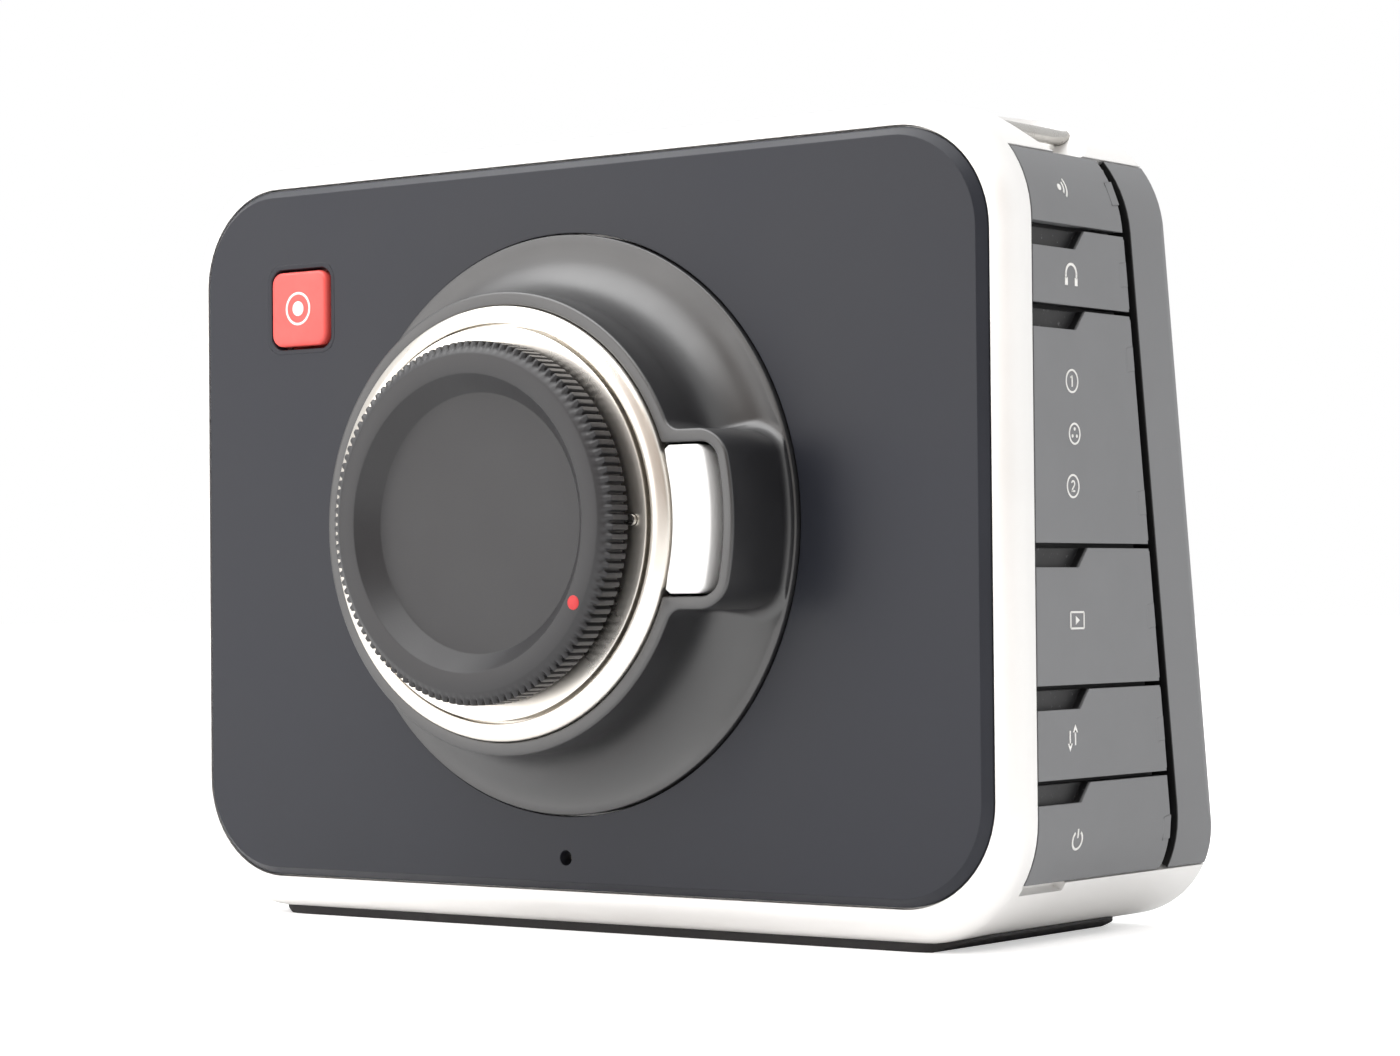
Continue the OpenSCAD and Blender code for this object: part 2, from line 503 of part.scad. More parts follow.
// A cover between two heights; len is its barrel, notched covers have the finger notch
module cover(h, z0, z1, len, notched) difference() {
    union() {
        intersection() {
            slab(cover_d, far_d) intersection() { band2(0, cover_t); wedge2(cover_angle - 0.2); }
            side(corner_x - body_r, body_w) strip2(0, -barrel_r, z0, z1);
        }
        at_hinge(h) rotate([0, 0, 90]) cylinder(r = barrel_r, h = len, center = true);
    }
    at_hinge(h) rotate([0, 0, 90]) cylinder(r = pin_r + run, h = 2 * body_h, center = true);
    for (k = h[2]) at_hinge(h) translate([-body_r, -barrel_r - 2 * gap, k - knuckle_w / 2 - gap]) cube([2 * body_r, body_r, knuckle_w + 2 * gap]);
    if (notched) side(body_w / 2 - notch_t, body_w) polygon([[0, z1 - notch_h], [cover_d + notch_l, z1 - notch_h],
        [cover_d + notch_l + notch_run, z1 + over], [0, z1 + over]]);
}
socket_x = body_w / 2 - floor_o;
function port_z(i) = i == 0 ? (seam_1 + edge_z) / 2 - jack_in : i == 1 ? (seam_1 + seam_2) / 2 : i == 2 ? (seam_2 + seam_3) / 2
    : i == 3 ? (seam_3 + seam_4) / 2 : i == 4 ? (seam_4 + seam_5) / 2 : (seam_5 - edge_z) / 2 + jack_in;
function port_d(z) = (cover_d + axis_d(z)) / 2;
module at_port(z, x, d = 0) translate([x, front_y + port_d(z) + d, mid_z + z]) rotate([0, 90, 0]) children();
jack_in = 1; remote_r = 2.8; phone_r = 4.2; jack_r = 6.4; jack_s = 15; video_r = 8; data_w = 9; data_h = 6; data_t = 0.7; tongue_t = 1; dc_r = 4.6; dc_bore = 2.9; phone_bore = 1.8; audio_bore = 3.2; jack_l = 12;
module port_panel() color(black_c) difference() {
    union() {
        intersection() {
            slab(wall_d1, far_d) intersection() { band2(floor_o, panel_o); wedge2(cover_angle - 1.4); }
            side(corner_x - body_r, body_w) strip2(0, 0, -body_h / 2, body_h / 2);
        }
        for (h = hinge_list) for (k = h[2]) at_hinge(h) translate([0, 0, k - knuckle_w / 2]) {
            cylinder(r = barrel_r - fit, h = knuckle_w);
            translate([-floor_o + barrel_r - (h[1] == 0 ? over / 2 : over), fit - barrel_r, 0])
                cube([floor_o - barrel_r + (h[1] == 0 ? over / 2 : over), 2 * barrel_r - 2 * fit, knuckle_w]);
        }
    }
    for (h = hinge_list) at_hinge(h) cylinder(r = pin_r + fine, h = 3 * barrel_r * 2, center = true);
    for (h = [hinge_list[2]]) for (k = h[2]) at_hinge(h) translate([0, 0, k]) cylinder(r = pin_r + fine, h = 3 * barrel_r * 2, center = true);
    at_port(port_z(0), 0) cylinder(r = remote_r + fit, h = body_w);
    at_port(port_z(1), 0) cylinder(r = phone_r + fit, h = body_w);
    for (s = [-1, 1]) at_port(port_z(2) + s * jack_s / 2, 0) cylinder(r = jack_r + fit, h = body_w);
    at_port(port_z(3), 0) cylinder(r = video_r, h = body_w);
    at_port(port_z(4), body_w / 2) translate([-data_h / 2 - fit, -data_w / 2 - fit, -body_w / 2]) cube([data_h + 2 * fit, data_w + 2 * fit, body_w]);
    at_port(port_z(5), 0) cylinder(r = dc_r + fit, h = body_w);
}
module cover_pins() color(steel_c) for (h = hinge_list) for (k = h[2]) at_hinge(h) translate([0, 0, k - pin_l / 2]) cylinder(r = pin_r, h = pin_l);
module remote_cover() color(grey_c) cover(hinge_list[0], seam_1 + seam / 2, body_h, pin_l + 2 * fit, false);
module headphone_cover() color(grey_c) cover(hinge_list[1], seam_2 + seam / 2, seam_1 - seam / 2, seam_1 - seam_2 - 2 * seam, true);
module audio_cover() color(grey_c) cover(hinge_list[2], seam_3 + seam / 2, seam_2 - seam / 2, seam_2 - seam_3 - 2 * seam, true);
module video_cover() color(grey_c) cover(hinge_list[3], seam_4 + seam / 2, seam_3 - seam / 2, seam_3 - seam_4 - 2 * seam, true);
module data_cover() color(grey_c) cover(hinge_list[4], seam_5 + seam / 2, seam_4 - seam / 2, seam_4 - seam_5 - 2 * seam, true);
module power_cover() color(grey_c) cover(hinge_list[5], -body_h, seam_5 - seam / 2, pin_l + 2 * fit, true);
// A round socket: barrel with bore and flange in the panel
module jack(r, bore) difference() {
    translate([0, 0, -jack_l]) cylinder(r = r, h = jack_l);
    translate([0, 0, over - jack_l]) cylinder(r = bore, h = jack_l + over);
}
module remote_jack() color(black_c) at_port(port_z(0), surf_x(port_z(0) + remote_r) - floor_o - fit) jack(remote_r, remote_r * 0.4);
module headphone_jack() color(black_c) at_port(port_z(1), socket_x) jack(phone_r, phone_bore);
module audio_jacks() color(black_c) for (s = [-1, 1]) at_port(port_z(2) + s * jack_s / 2, socket_x) jack(jack_r, audio_bore);
bnc_r = 4.8; bnc_in = 1; bnc_lug = 1.1; shell_share = 0.82; pin_share = 0.24;
module video_socket() color(steel_c) {
    at_port(port_z(3), socket_x - bnc_in) jack(bnc_r, bnc_r * shell_share);
    at_port(port_z(3), socket_x - bnc_in - jack_l) cylinder(r = bnc_r * pin_share, h = jack_l * shell_share);
    for (s = [-1, 1]) at_port(port_z(3), socket_x - bnc_in - 3 * bnc_lug) translate([0, s * bnc_r, 0]) rotate([90, 0, 0]) cylinder(r = bnc_lug, h = 2 * bnc_lug, center = true);
    at_port(port_z(3), socket_x - bnc_in - jack_l) cylinder(r = video_r + over + 4 * fit, h = jack_l - panel_o + floor_o + bnc_in - 2 * fit);
}
module data_socket() color(steel_c) at_port(port_z(4), socket_x) difference() {
    translate([-data_h / 2, -data_w / 2, -jack_l]) cube([data_h, data_w, jack_l]);
    translate([-data_h / 2 + data_t, -data_w / 2 + data_t, over - jack_l]) difference() {
        cube([data_h - 2 * data_t, data_w - 2 * data_t, jack_l]);
        translate([data_h / 2 - data_t - tongue_t / 2, tongue_t, 0]) cube([tongue_t, data_w - 2 * data_t - 2 * tongue_t, jack_l - 2 * over]);
    }
}
module power_socket() color(black_c) {
    at_port(port_z(5), surf_x(port_z(5) - dc_r) - floor_o - fit) jack(dc_r, dc_bore);
    at_port(port_z(5), surf_x(port_z(5) - dc_r) - floor_o - fit - jack_l) cylinder(r = dc_bore / 3, h = jack_l - over);
}

// Drive side
battery_x = 51; battery_w = 24; battery_t = 12; battery_h = 42;
door_hinge = [0, 0, [-27, 27]]; slot_w = 4.9; slot_l = 18; latch_d = 11.4; latch_step = 1.3; latch_lip = 1.1; bay_h = 8.6; bay_l = 102; bay_w = 72; bay_t = 0.8; bay_y = 0; bay_top = -10.5;
module drive_panel() color(black_c) mirror([1, 0, 0]) difference() {
    union() {
        intersection() {
            slab(wall_d1, far_d) intersection() { band2(floor_o, panel_o); wedge2(cover_angle - 1.4); }
            side(corner_x - body_r, body_w) strip2(0, 0, -body_h / 2, body_h / 2);
        }
        intersection() {
            slab(cover_d, far_d) intersection() { band2(0, floor_o + over / 2); wedge2(cover_angle - 0.2); }
            side(corner_x - body_r, body_w) difference() {
                strip2(0, 0, -body_h / 2, body_h / 2);
                strip2(-over, over, -door_z - seam, door_z + seam);
            }
        }
        for (k = door_hinge[2]) at_hinge(door_hinge) translate([0, 0, k - knuckle_w / 2]) {
            cylinder(r = barrel_r - fit, h = knuckle_w);
            translate([-floor_o + barrel_r - over / 2, fit - barrel_r, 0]) cube([floor_o - barrel_r + over / 2, 2 * barrel_r - 2 * fit, knuckle_w]);
        }
    }
    for (k = door_hinge[2]) at_hinge(door_hinge) translate([0, 0, k]) cylinder(r = pin_r + fine, h = 2 * knuckle_w, center = true);
    mirror([1, 0, 0]) at_rear(bay_top) translate([0, 0, -bay_h + bay_t]) linear_extrude(bay_h - 2 * bay_t)
        translate([0, -bay_w / 2 + bay_t]) square([body_w, bay_w - 2 * bay_t]);
}
module drive_door() color(grey_c) mirror([1, 0, 0]) difference() {
    cover(door_hinge, -door_z, door_z, 2 * door_z - seam, false);
    side(body_w / 2 - cover_t - over, body_w) translate([latch_d, -slot_l / 2]) square([slot_w, slot_l]);
    side(body_w / 2 - cover_t - over, body_w / 2 - latch_step) translate([latch_d - latch_lip, -slot_l / 2]) square([slot_w + 2 * latch_lip, slot_l]);
}
module door_latch() color(black_c) mirror([1, 0, 0]) {
    side(body_w / 2 - latch_step - gap - fit, body_w / 2 - fit) translate([latch_d + gap, gap - slot_l / 2]) square([slot_w - 2 * gap, slot_l - latch_travel - 2 * gap]);
    side(body_w / 2 - cover_t, body_w / 2 - latch_step - gap) translate([latch_d - latch_lip + gap, gap - slot_l / 2])
        square([slot_w + 2 * latch_lip - 2 * gap, slot_l - latch_travel - 2 * gap]);
}
module drive_bay() color(steel_c) at_rear(bay_top) translate([body_w / 2 - panel_o - bay_l - fit, -bay_w / 2, -bay_h]) difference() {
    cube([bay_l, bay_w, bay_h]);
    translate([bay_t, bay_t, bay_t]) cube([bay_l, bay_w - 2 * bay_t, bay_h - 2 * bay_t]);
}
plug_l = 6; plug_w = 44; plug_h = 4; plug_y = 6; plug_in = 2; plug_wall = 1.3;
module drive_connector() color(black_c) at_rear(bay_top) translate([body_w / 2 - panel_o - bay_l + bay_t, bay_w / 2 - plug_y - plug_w, -bay_h + bay_t]) difference() {
    cube([plug_l, plug_w, plug_h]);
    translate([plug_l - plug_in, plug_wall, plug_wall - fit]) cube([plug_in + over, plug_w - 2 * plug_wall, plug_h - 2 * plug_wall + 2 * fit]);
}
module battery_pack() color([0.2, 0.3, 0.5]) for (i = [0, 1])
    translate([battery_x, front_y + wall_d1 + gap + (i + 1 / 2) * (battery_t + gap), pad_t + wall + fit])
        linear_extrude(battery_h) rr2(battery_w, battery_t, battery_t / 3);

// Rear
plate_t = 3.2; rim_wall = 2; board_h = -8.9; shell_post_x = 66; shell_post_y = 50; key_post_x = 70; key_flange = 0.9; glass_t = 1.1; glass_r = 3; glass_seat = 4; display_t = 2.6; keys_x = [-3, -2, -0.5, 0.5, 1.5];
key_proud = 0.7; key_rim = 1.2; key_r = 2; key_board_t = 1.2; dome_h = 0.15; dome_gap = 0.35;
key_board_top = -plate_t - gap - key_flange - key_travel - dome_gap;
module rear_shell() color(black_c) difference() {
    union() {
        intersection() {
            body_form(groove_d - body_h);
            union() {
                for (s = [0, 1]) mirror([s, 0, 0]) slab(0, far_d * 2) wedge2(cover_angle - 0.2);
                slab(0, far_d * 2) frame2(wall + fit);
            }
            translate([-body_w, front_y, mid_z]) rotate([90, 0, 90]) linear_extrude(2 * body_w)
                polygon([[groove_d + groove_w + body_h * tilt_k, -body_h], [2 * far_d, -body_h], [2 * far_d, body_h], [groove_d + groove_w - body_h * tilt_k, body_h]]);
        }
    }
    difference() {
        slab(0, far_d * 2) frame2(wall + rim_wall);
        behind(-plate_t);
        for (sx = [-1, 1], sy = [-1, 1]) at_rear(board_h) translate([sx * shell_post_x, sy * shell_post_y, 0]) cylinder(r = post_r, h = -board_h);
        for (sx = [-1, 1]) at_rear(key_board_top) translate([sx * key_post_x, -key_y, 0]) cylinder(r = post_r, h = -key_board_top);
    }
    scoops(scoop_r + scoop_wall + fit);
    at_rear(-glass_t - fit) translate([0, screen_y, 0]) linear_extrude(body_r) rr2(screen_w + 2 * fit, screen_h + 2 * fit, glass_r);
    at_rear(-body_r) translate([0, screen_y, 0]) linear_extrude(body_r + over) rr2(screen_w - 2 * glass_seat, screen_h - 2 * glass_seat, glass_r - over);
    for (i = keys_x) at_key(i, -body_r) linear_extrude(body_r + over) rr2(key_w + 2 * gap, key_h + 2 * gap, key_r + gap);
    at_key(3, -body_r) cylinder(r = power_r + gap, h = body_r + over);
}
module at_key(i, h) at_rear(h) translate([i * key_pitch, -key_y, 0]) children();
module key(i) {
    at_key(i, -plate_t - gap - key_flange) block(key_w, key_h, key_r, plate_t + gap + key_flange + key_proud, key_proud);
    at_key(i, -plate_t - gap - key_flange) linear_extrude(key_flange) rr2(key_w + 2 * key_rim, key_h + 2 * key_rim, key_r);
}
module iris_key() color(grey_c) key(keys_x[0]);
module focus_key() color(grey_c) key(keys_x[1]);
module back_key() color(grey_c) key(keys_x[2]);
module play_key() color(grey_c) key(keys_x[3]);
module next_key() color(grey_c) key(keys_x[4]);
module power_key() color(grey_c) {
    at_key(3, -plate_t - gap - key_flange) cylinder(r = power_r, h = plate_t + gap + key_flange + key_proud / 2);
    at_key(3, -plate_t - gap - key_flange) cylinder(r = power_r + key_rim, h = key_flange);
}
module key_board() color(board_c) {
    at_rear(key_board_top - key_board_t) translate([0, -key_y, 0]) linear_extrude(key_board_t) rr2(2 * key_post_x + 2 * post_r, key_h + 2 * key_rim, key_r);
    for (i = concat(keys_x, [3])) at_key(i, key_board_top - fit) cylinder(r = key_r, h = fit + dome_h);
}
module screen_glass() color([0.05, 0.05, 0.06]) at_rear(-glass_t) translate([0, screen_y, 0]) linear_extrude(glass_t - fit) rr2(screen_w, screen_h, glass_r);
module display_panel() color([0.2, 0.22, 0.25]) at_rear(-glass_t - display_t) translate([0, screen_y, 0]) linear_extrude(display_t - fine)
    rr2(screen_w - 2 * glass_seat - over, screen_h - 2 * glass_seat - over, glass_r / 2);
module main_board() color(board_c) at_rear(board_h - board_t) difference() {
    linear_extrude(board_t) rr2(2 * shell_post_x + 2 * board_rim, 2 * shell_post_y + 2 * post_r, board_rim);
    for (sx = [-1, 1], sy = [-1, 1]) translate([sx * shell_post_x, sy * shell_post_y, -over]) cylinder(r = board_hole, h = board_t + 2 * over);
}

chassis_frame();
front_panel();
foot_pad();
tripod_insert();
top_inserts();
strap_pins();
mount_turret();
lens_mount_ring();
trim_ring();
mount_screws();
contact_block();
body_cap();
release_button();
lock_pin();
release_spring();
rec_button();
rec_switch();
microphone();
sensor();
sensor_filter();
sensor_holder();
sensor_board();
heat_spreader();
port_panel();
cover_pins();
remote_cover();
headphone_cover();
audio_cover();
video_cover();
data_cover();
power_cover();
remote_jack();
headphone_jack();
audio_jacks();
video_socket();
data_socket();
power_socket();
drive_panel();
drive_door();
door_latch();
drive_bay();
drive_connector();
battery_pack();
main_board();
rear_shell();
screen_glass();
display_panel();
key_board();
iris_key();
focus_key();
back_key();
play_key();
next_key();
power_key();
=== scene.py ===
"""Looks of a digital cinema camera body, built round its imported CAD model."""

import json
import logging
import math
from dataclasses import dataclass, field, replace
from enum import Enum
from typing import Any, Callable, Optional, Sequence

import bmesh
import bpy
from mathutils import Matrix, Vector

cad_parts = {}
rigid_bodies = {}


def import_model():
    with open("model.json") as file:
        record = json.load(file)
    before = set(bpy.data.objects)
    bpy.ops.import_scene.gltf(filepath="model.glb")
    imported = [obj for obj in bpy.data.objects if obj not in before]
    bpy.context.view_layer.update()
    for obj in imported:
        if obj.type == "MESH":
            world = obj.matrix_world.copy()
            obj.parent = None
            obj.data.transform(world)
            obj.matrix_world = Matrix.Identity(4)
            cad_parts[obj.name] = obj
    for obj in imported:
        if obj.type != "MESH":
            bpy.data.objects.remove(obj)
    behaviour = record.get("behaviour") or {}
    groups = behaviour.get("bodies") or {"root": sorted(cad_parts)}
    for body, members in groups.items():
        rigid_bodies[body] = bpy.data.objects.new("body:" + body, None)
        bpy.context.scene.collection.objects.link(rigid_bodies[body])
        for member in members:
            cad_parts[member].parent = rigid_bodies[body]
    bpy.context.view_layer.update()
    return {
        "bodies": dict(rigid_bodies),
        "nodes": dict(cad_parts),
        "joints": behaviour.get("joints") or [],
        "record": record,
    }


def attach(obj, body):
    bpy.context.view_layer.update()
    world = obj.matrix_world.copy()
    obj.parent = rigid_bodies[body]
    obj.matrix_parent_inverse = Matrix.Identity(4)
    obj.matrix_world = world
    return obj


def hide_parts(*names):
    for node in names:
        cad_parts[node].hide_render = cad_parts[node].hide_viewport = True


LOG = logging.getLogger("camera_body")
MM = 0.001
Point = tuple[float, float, float]
Flat = tuple[float, float]
Colour = tuple[float, float, float, float]
Radius = Callable[[float], float]
Outline = Callable[[float, float], float]
Level = tuple[Radius, Radius]
Place = Callable[[float, float, float], Point]


@dataclass(frozen=True)
class Body:
    """Sizes that the CAD source gives, in millimetres, shared by the pieces."""

    width: float = 166.2
    height: float = 125.05
    sink: float = 1.55
    corner: float = 18.5
    front: float = -26.2
    axis: float = 64.75
    rear: float = 55.3
    tilt: float = 8.0
    groove: float = 40.3
    record: Flat = (-56.4, 37.4)

    def side(self, z: float) -> float:
        """How far the body's side stands from the middle, at a height over the lens axis."""
        upper = (self.height - self.sink) / 2 - self.corner
        lower = (self.height + self.sink) / 2 - self.corner
        beyond = max(z - upper, -lower - z, 0.0)
        return self.width / 2 - self.corner + math.sqrt(self.corner**2 - beyond**2)


BODY = Body()


def linear(code: str) -> Colour:
    """Turns six hex digits of sRGB into the linear red, green, blue and full alpha of a shader."""
    parts = [int(code[i : i + 2], 16) / 255 for i in (0, 2, 4)]
    red, green, blue = [
        c / 12.92 if c <= 0.04045 else ((c + 0.055) / 1.055) ** 2.4 for c in parts
    ]
    return (red, green, blue, 1.0)


def add(
    tree: bpy.types.NodeTree,
    kind: str,
    settings: Optional[dict[str, Any]] = None,
    sockets: Optional[dict[Any, Any]] = None,
) -> bpy.types.Node:
    """Adds a node with its settings, values and links.

    Args:
        tree: the node tree.
        kind: Blender's name of the node type.
        settings: properties of the node.
        sockets: input name or number, with a value or another node's output.

    Returns:
        The new node.
    """
    node = tree.nodes.new(kind)
    for name, value in (settings or {}).items():
        setattr(node, name, value)
    for name, value in (sockets or {}).items():
        if isinstance(value, bpy.types.NodeSocket):
            tree.links.new(value, node.inputs[name])
        else:
            node.inputs[name].default_value = value
    return node


def put(name: str, data: bpy.types.ID) -> bpy.types.Object:
    """Makes an object of a mesh, lamp or camera and puts it into the scene."""
    made = bpy.data.objects.new(name, data)
    bpy.context.scene.collection.objects.link(made)
    return made


class Wiring:
    """Short forms for the nodes that a tree uses again and again."""

    def __init__(self, tree: bpy.types.NodeTree) -> None:
        """Empties the tree that is to be filled, and keeps it."""
        tree.nodes.clear()
        self.tree = tree

    def node(self, kind: str, settings: Optional[dict[str, Any]] = None, **sockets: Any) -> bpy.types.Node:
        """Adds a shader node, its kind named without ShaderNode and its sockets with _ for a space."""
        named = {name.replace("_", " "): value for name, value in sockets.items()}
        return add(self.tree, f"ShaderNode{kind}", settings, named)

    def calc(self, operation: str, *values: Any) -> bpy.types.NodeSocket:
        """Adds a Math node on the values and returns its result."""
        return add(self.tree, "ShaderNodeMath", {"operation": operation}, dict(enumerate(values))).outputs[0]

    def dot(self, first: Any, second: Any) -> bpy.types.NodeSocket:
        """Adds the dot product of two vectors."""
        sockets = {0: first, 1: second}
        return add(self.tree, "ShaderNodeVectorMath", {"operation": "DOT_PRODUCT"}, sockets).outputs["Value"]

    def noise(self, place: bpy.types.NodeSocket, size: float, **sockets: float) -> bpy.types.NodeSocket:
        """Adds a noise whose features are about size millimetres wide."""
        return self.node("TexNoise", Vector=place, Scale=1 / (size * MM), **sockets).outputs[0]

    def span(self, value: Any, source: Flat, target: Flat, curve: str = "LINEAR") -> bpy.types.NodeSocket:
        """Maps a value from the source range to the target range, along one of Blender's curves."""
        sockets = {0: value, 1: source[0], 2: source[1], 3: target[0], 4: target[1]}
        return add(self.tree, "ShaderNodeMapRange", {"interpolation_type": curve}, sockets).outputs[0]

    def blend(self, share: Any, first: Any, second: Any) -> bpy.types.NodeSocket:
        """Blends two colours by a share from none to one."""
        sockets = {0: share, 6: first, 7: second}
        return add(self.tree, "ShaderNodeMix", {"data_type": "RGBA"}, sockets).outputs[2]


class Grain(Enum):
    """How a surface was made, which gives its fine relief; the value is the noise's detail."""

    MOULDED = 2.0
    BLASTED = 4.0
    POLISHED = 1.0
    BRUSHED = -1.0
    TURNED = -2.0


@dataclass(frozen=True)
class Finish:
    """One real finish: its colours, gloss and relief, with every pattern's size in millimetres.

    Its helpers take the material's wiring, Object coordinates and the colour elsewhere.
    """

    name: str
    colour: str
    worn: str
    roughness: float
    grain: Grain = Grain.MOULDED
    metallic: float = 0.0
    grain_mm: float = 0.3
    relief_mm: float = 0.01
    cloud_mm: float = 25.0
    cloud: float = 0.5
    smudge: float = 0.06
    ease_mm: float = 0.25
    ior: float = 1.5
    specular: float = 0.5
    coat: float = 0.0
    glass: float = 0.0
    outer: str = ""
    outer_mm: float = 0.0
    # groove: colour of the painted shade on the wall inside the groove; empty for none.
    groove: str = ""
    # notch: colour of the painted shade in the finger notches; empty for none.
    notch_shade: str = ""
    notch_mm: float = 82.7
    notch_low: float = -44.4
    notch_high: float = 42.5
    scuff: str = "8d8d8e"

    def material(self) -> bpy.types.Material:
        """Builds the material, or returns it if it is there already."""
        found = bpy.data.materials.get(self.name)
        if found:
            return found
        material = bpy.data.materials.new(self.name)
        material.use_nodes = True
        wires = Wiring(material.node_tree)
        place = wires.node("TexCoord").outputs["Object"]
        cloud = wires.noise(place, self.cloud_mm, Detail=5.0, Roughness=0.6)
        mottle = wires.span(cloud, (0.35, 0.7), (0.0, self.cloud))
        colour = wires.blend(mottle, linear(self.colour), linear(self.worn))
        colour = self._paint_groove_shade(wires, place, self._knuckles(wires, place, colour))
        colour = self._paint_notch_shade_and_scuffs(wires, place, colour)
        gloss = (max(0.02, self.roughness - self.smudge), min(1.0, self.roughness + self.smudge))
        rough = wires.span(cloud, (0.3, 0.7), gloss)
        soft = wires.node("Bevel", {"samples": 4}, Radius=self.ease_mm * MM).outputs[0]
        bump = wires.node(
            "Bump",
            Height=self._relief(wires, place),
            Distance=self.relief_mm * MM,
            Strength=1.0,
            Normal=soft,
        ).outputs[0]
        surface = wires.node(
            "BsdfPrincipled",
            Base_Color=colour,
            Roughness=rough,
            Metallic=self.metallic,
            IOR=self.ior,
            Specular_IOR_Level=self.specular,
            Coat_Weight=self.coat,
            Coat_Roughness=0.15,
            Transmission_Weight=self.glass,
            Normal=bump,
        )
        wires.node("OutputMaterial", Surface=surface.outputs[0])
        material.diffuse_color = linear(self.colour)
        return material

    def _knuckles(self, wires: Wiring, place: bpy.types.NodeSocket, colour: bpy.types.NodeSocket) -> Any:
        """Gives the outermost part of a piece the colour of the covers beside it."""
        if not self.outer:
            return colour
        across = wires.node("SeparateXYZ", Vector=place).outputs[0]
        beyond = wires.calc("GREATER_THAN", wires.calc("ABSOLUTE", across), self.outer_mm * MM)
        return wires.blend(beyond, colour, linear(self.outer))

    def _paint_groove_shade(self, wires: Wiring, place: bpy.types.NodeSocket, colour: bpy.types.NodeSocket) -> Any:
        """Darkens the front wall that looks into the groove behind the covers, as painted shade inside the
        groove.
        """
        if not self.groove:
            return colour
        tilt = math.radians(BODY.tilt)
        lap, skin = 1.2, 0.22
        wall = (BODY.front + BODY.groove + lap) * math.cos(tilt) + BODY.axis * math.sin(tilt) + skin
        slant = (0.0, math.cos(tilt), math.sin(tilt))
        # Everything in front of this plane is the groove's wall, painted dark as its shade.
        inside = wires.calc("LESS_THAN", wires.dot(place, slant), wall * MM)
        return wires.blend(inside, colour, linear(self.groove))

    def _paint_notch_shade_and_scuffs(self, wires: Wiring, place: bpy.types.NodeSocket, colour: bpy.types.NodeSocket) -> Any:
        """Darkens the finger notches, which lie under the outer face, as painted shade in the recess, and scuffs
        them.
        """
        if not self.notch_shade:
            return colour
        apart = wires.node("SeparateXYZ", Vector=place).outputs
        fade = 0.15
        edge = ((self.notch_mm - fade) * MM, (self.notch_mm + fade) * MM)
        sunk = wires.span(wires.calc("ABSOLUTE", apart[0]), edge, (1.0, 0.0))
        low = wires.calc("GREATER_THAN", apart[2], (BODY.axis + self.notch_low) * MM)
        high = wires.calc("LESS_THAN", apart[2], (BODY.axis + self.notch_high) * MM)
        share = wires.calc("MULTIPLY", sunk, wires.calc("MULTIPLY", low, high))
        marks = wires.noise(place, 1.1, Detail=6.0, Roughness=0.8)
        scuffed = wires.span(marks, (0.6, 0.7), (0.0, 0.6))
        # The notches' painted shade, with lighter scuff marks of real wear on it.
        worn = wires.blend(scuffed, linear(self.notch_shade), linear(self.scuff))
        return wires.blend(share, colour, worn)

    def _relief(self, wires: Wiring, place: bpy.types.NodeSocket) -> bpy.types.NodeSocket:
        """The fine relief's height for this way of making."""
        if self.grain is Grain.TURNED:
            centred = wires.node("Mapping", Vector=place, Location=(0, 0, -BODY.axis * MM)).outputs[0]
            wave = wires.node(
                "TexWave",
                {"wave_type": "RINGS", "rings_direction": "Y"},
                Vector=centred,
                Scale=1 / (20 * self.grain_mm * MM),
                Distortion=0.4,
                Detail=3.0,
                Detail_Scale=6.0,
            )
            return wave.outputs["Fac"]
        if self.grain is Grain.BRUSHED:
            stretched = wires.node("Mapping", Vector=place, Scale=(0.04, 1, 1)).outputs[0]
            return wires.noise(stretched, self.grain_mm, Detail=2.0)
        return wires.noise(place, self.grain_mm, Detail=self.grain.value, Roughness=0.6)


# Moulded and blasted grains are really 0.05 to 0.15 mm. They are drawn at 0.2 to 0.35 mm, about the
# finest that a picture of the whole camera resolves. Clouds and hand marks have their real size.

# Lacquer of the front panel: a deep blue grey that takes a broad, soft sheen from the left.
SOFT_TOUCH = Finish(
    "soft_touch_lacquer", "22242b", "2a2c34", 0.4, grain_mm=0.25, relief_mm=0.004, cloud_mm=38, cloud=0.6,
    smudge=0.07, specular=0.32,
)
# Frame: almost white, satin, with a slight metal gleam along its rounded edges.
FRAME_METAL = Finish(
    "bead_blasted_aluminium", "efeeec", "f7f6f5", 0.42, Grain.BLASTED, metallic=0.5, relief_mm=0.006,
    cloud_mm=30, smudge=0.05,
)
# Turret: black, with wide grey highlights over its flare and an almost black wall by the guard.
TURRET_PAINT = Finish(
    "satin_black_enamel", "18181a", "202022", 0.38, grain_mm=0.35, relief_mm=0.008, cloud_mm=18, ior=1.9
)
# Mount rings: bright, slightly warm, with the turning marks as a faint ring pattern. The real
# marks are 0.05 mm apart and are drawn at 0.35 mm.
CHROME = Finish(
    "polished_chrome_plate", "efebe4", "e2dacf", 0.3, Grain.TURNED, metallic=1.0, grain_mm=0.35,
    relief_mm=0.0003, smudge=0.05,
)
# Body cap: neutral dark grey with a fine grain, so that its dish reads by shading alone.
CAP_ABS = Finish("fine_grained_abs", "28282a", "302f31", 0.42, relief_mm=0.012, cloud_mm=12, smudge=0.05)
# Lens release: a clean white block beside the chrome.
BUTTON_ABS = Finish("white_abs", "f4f4f3", "ebebea", 0.3, grain_mm=0.5, relief_mm=0.003)
# Record button: a warm, slightly pale red, the one colour on the front.
RECORD_RED = Finish("red_moulded_abs", "e5524c", "ec6660", 0.38, grain_mm=0.25, relief_mm=0.006, cloud_mm=6)
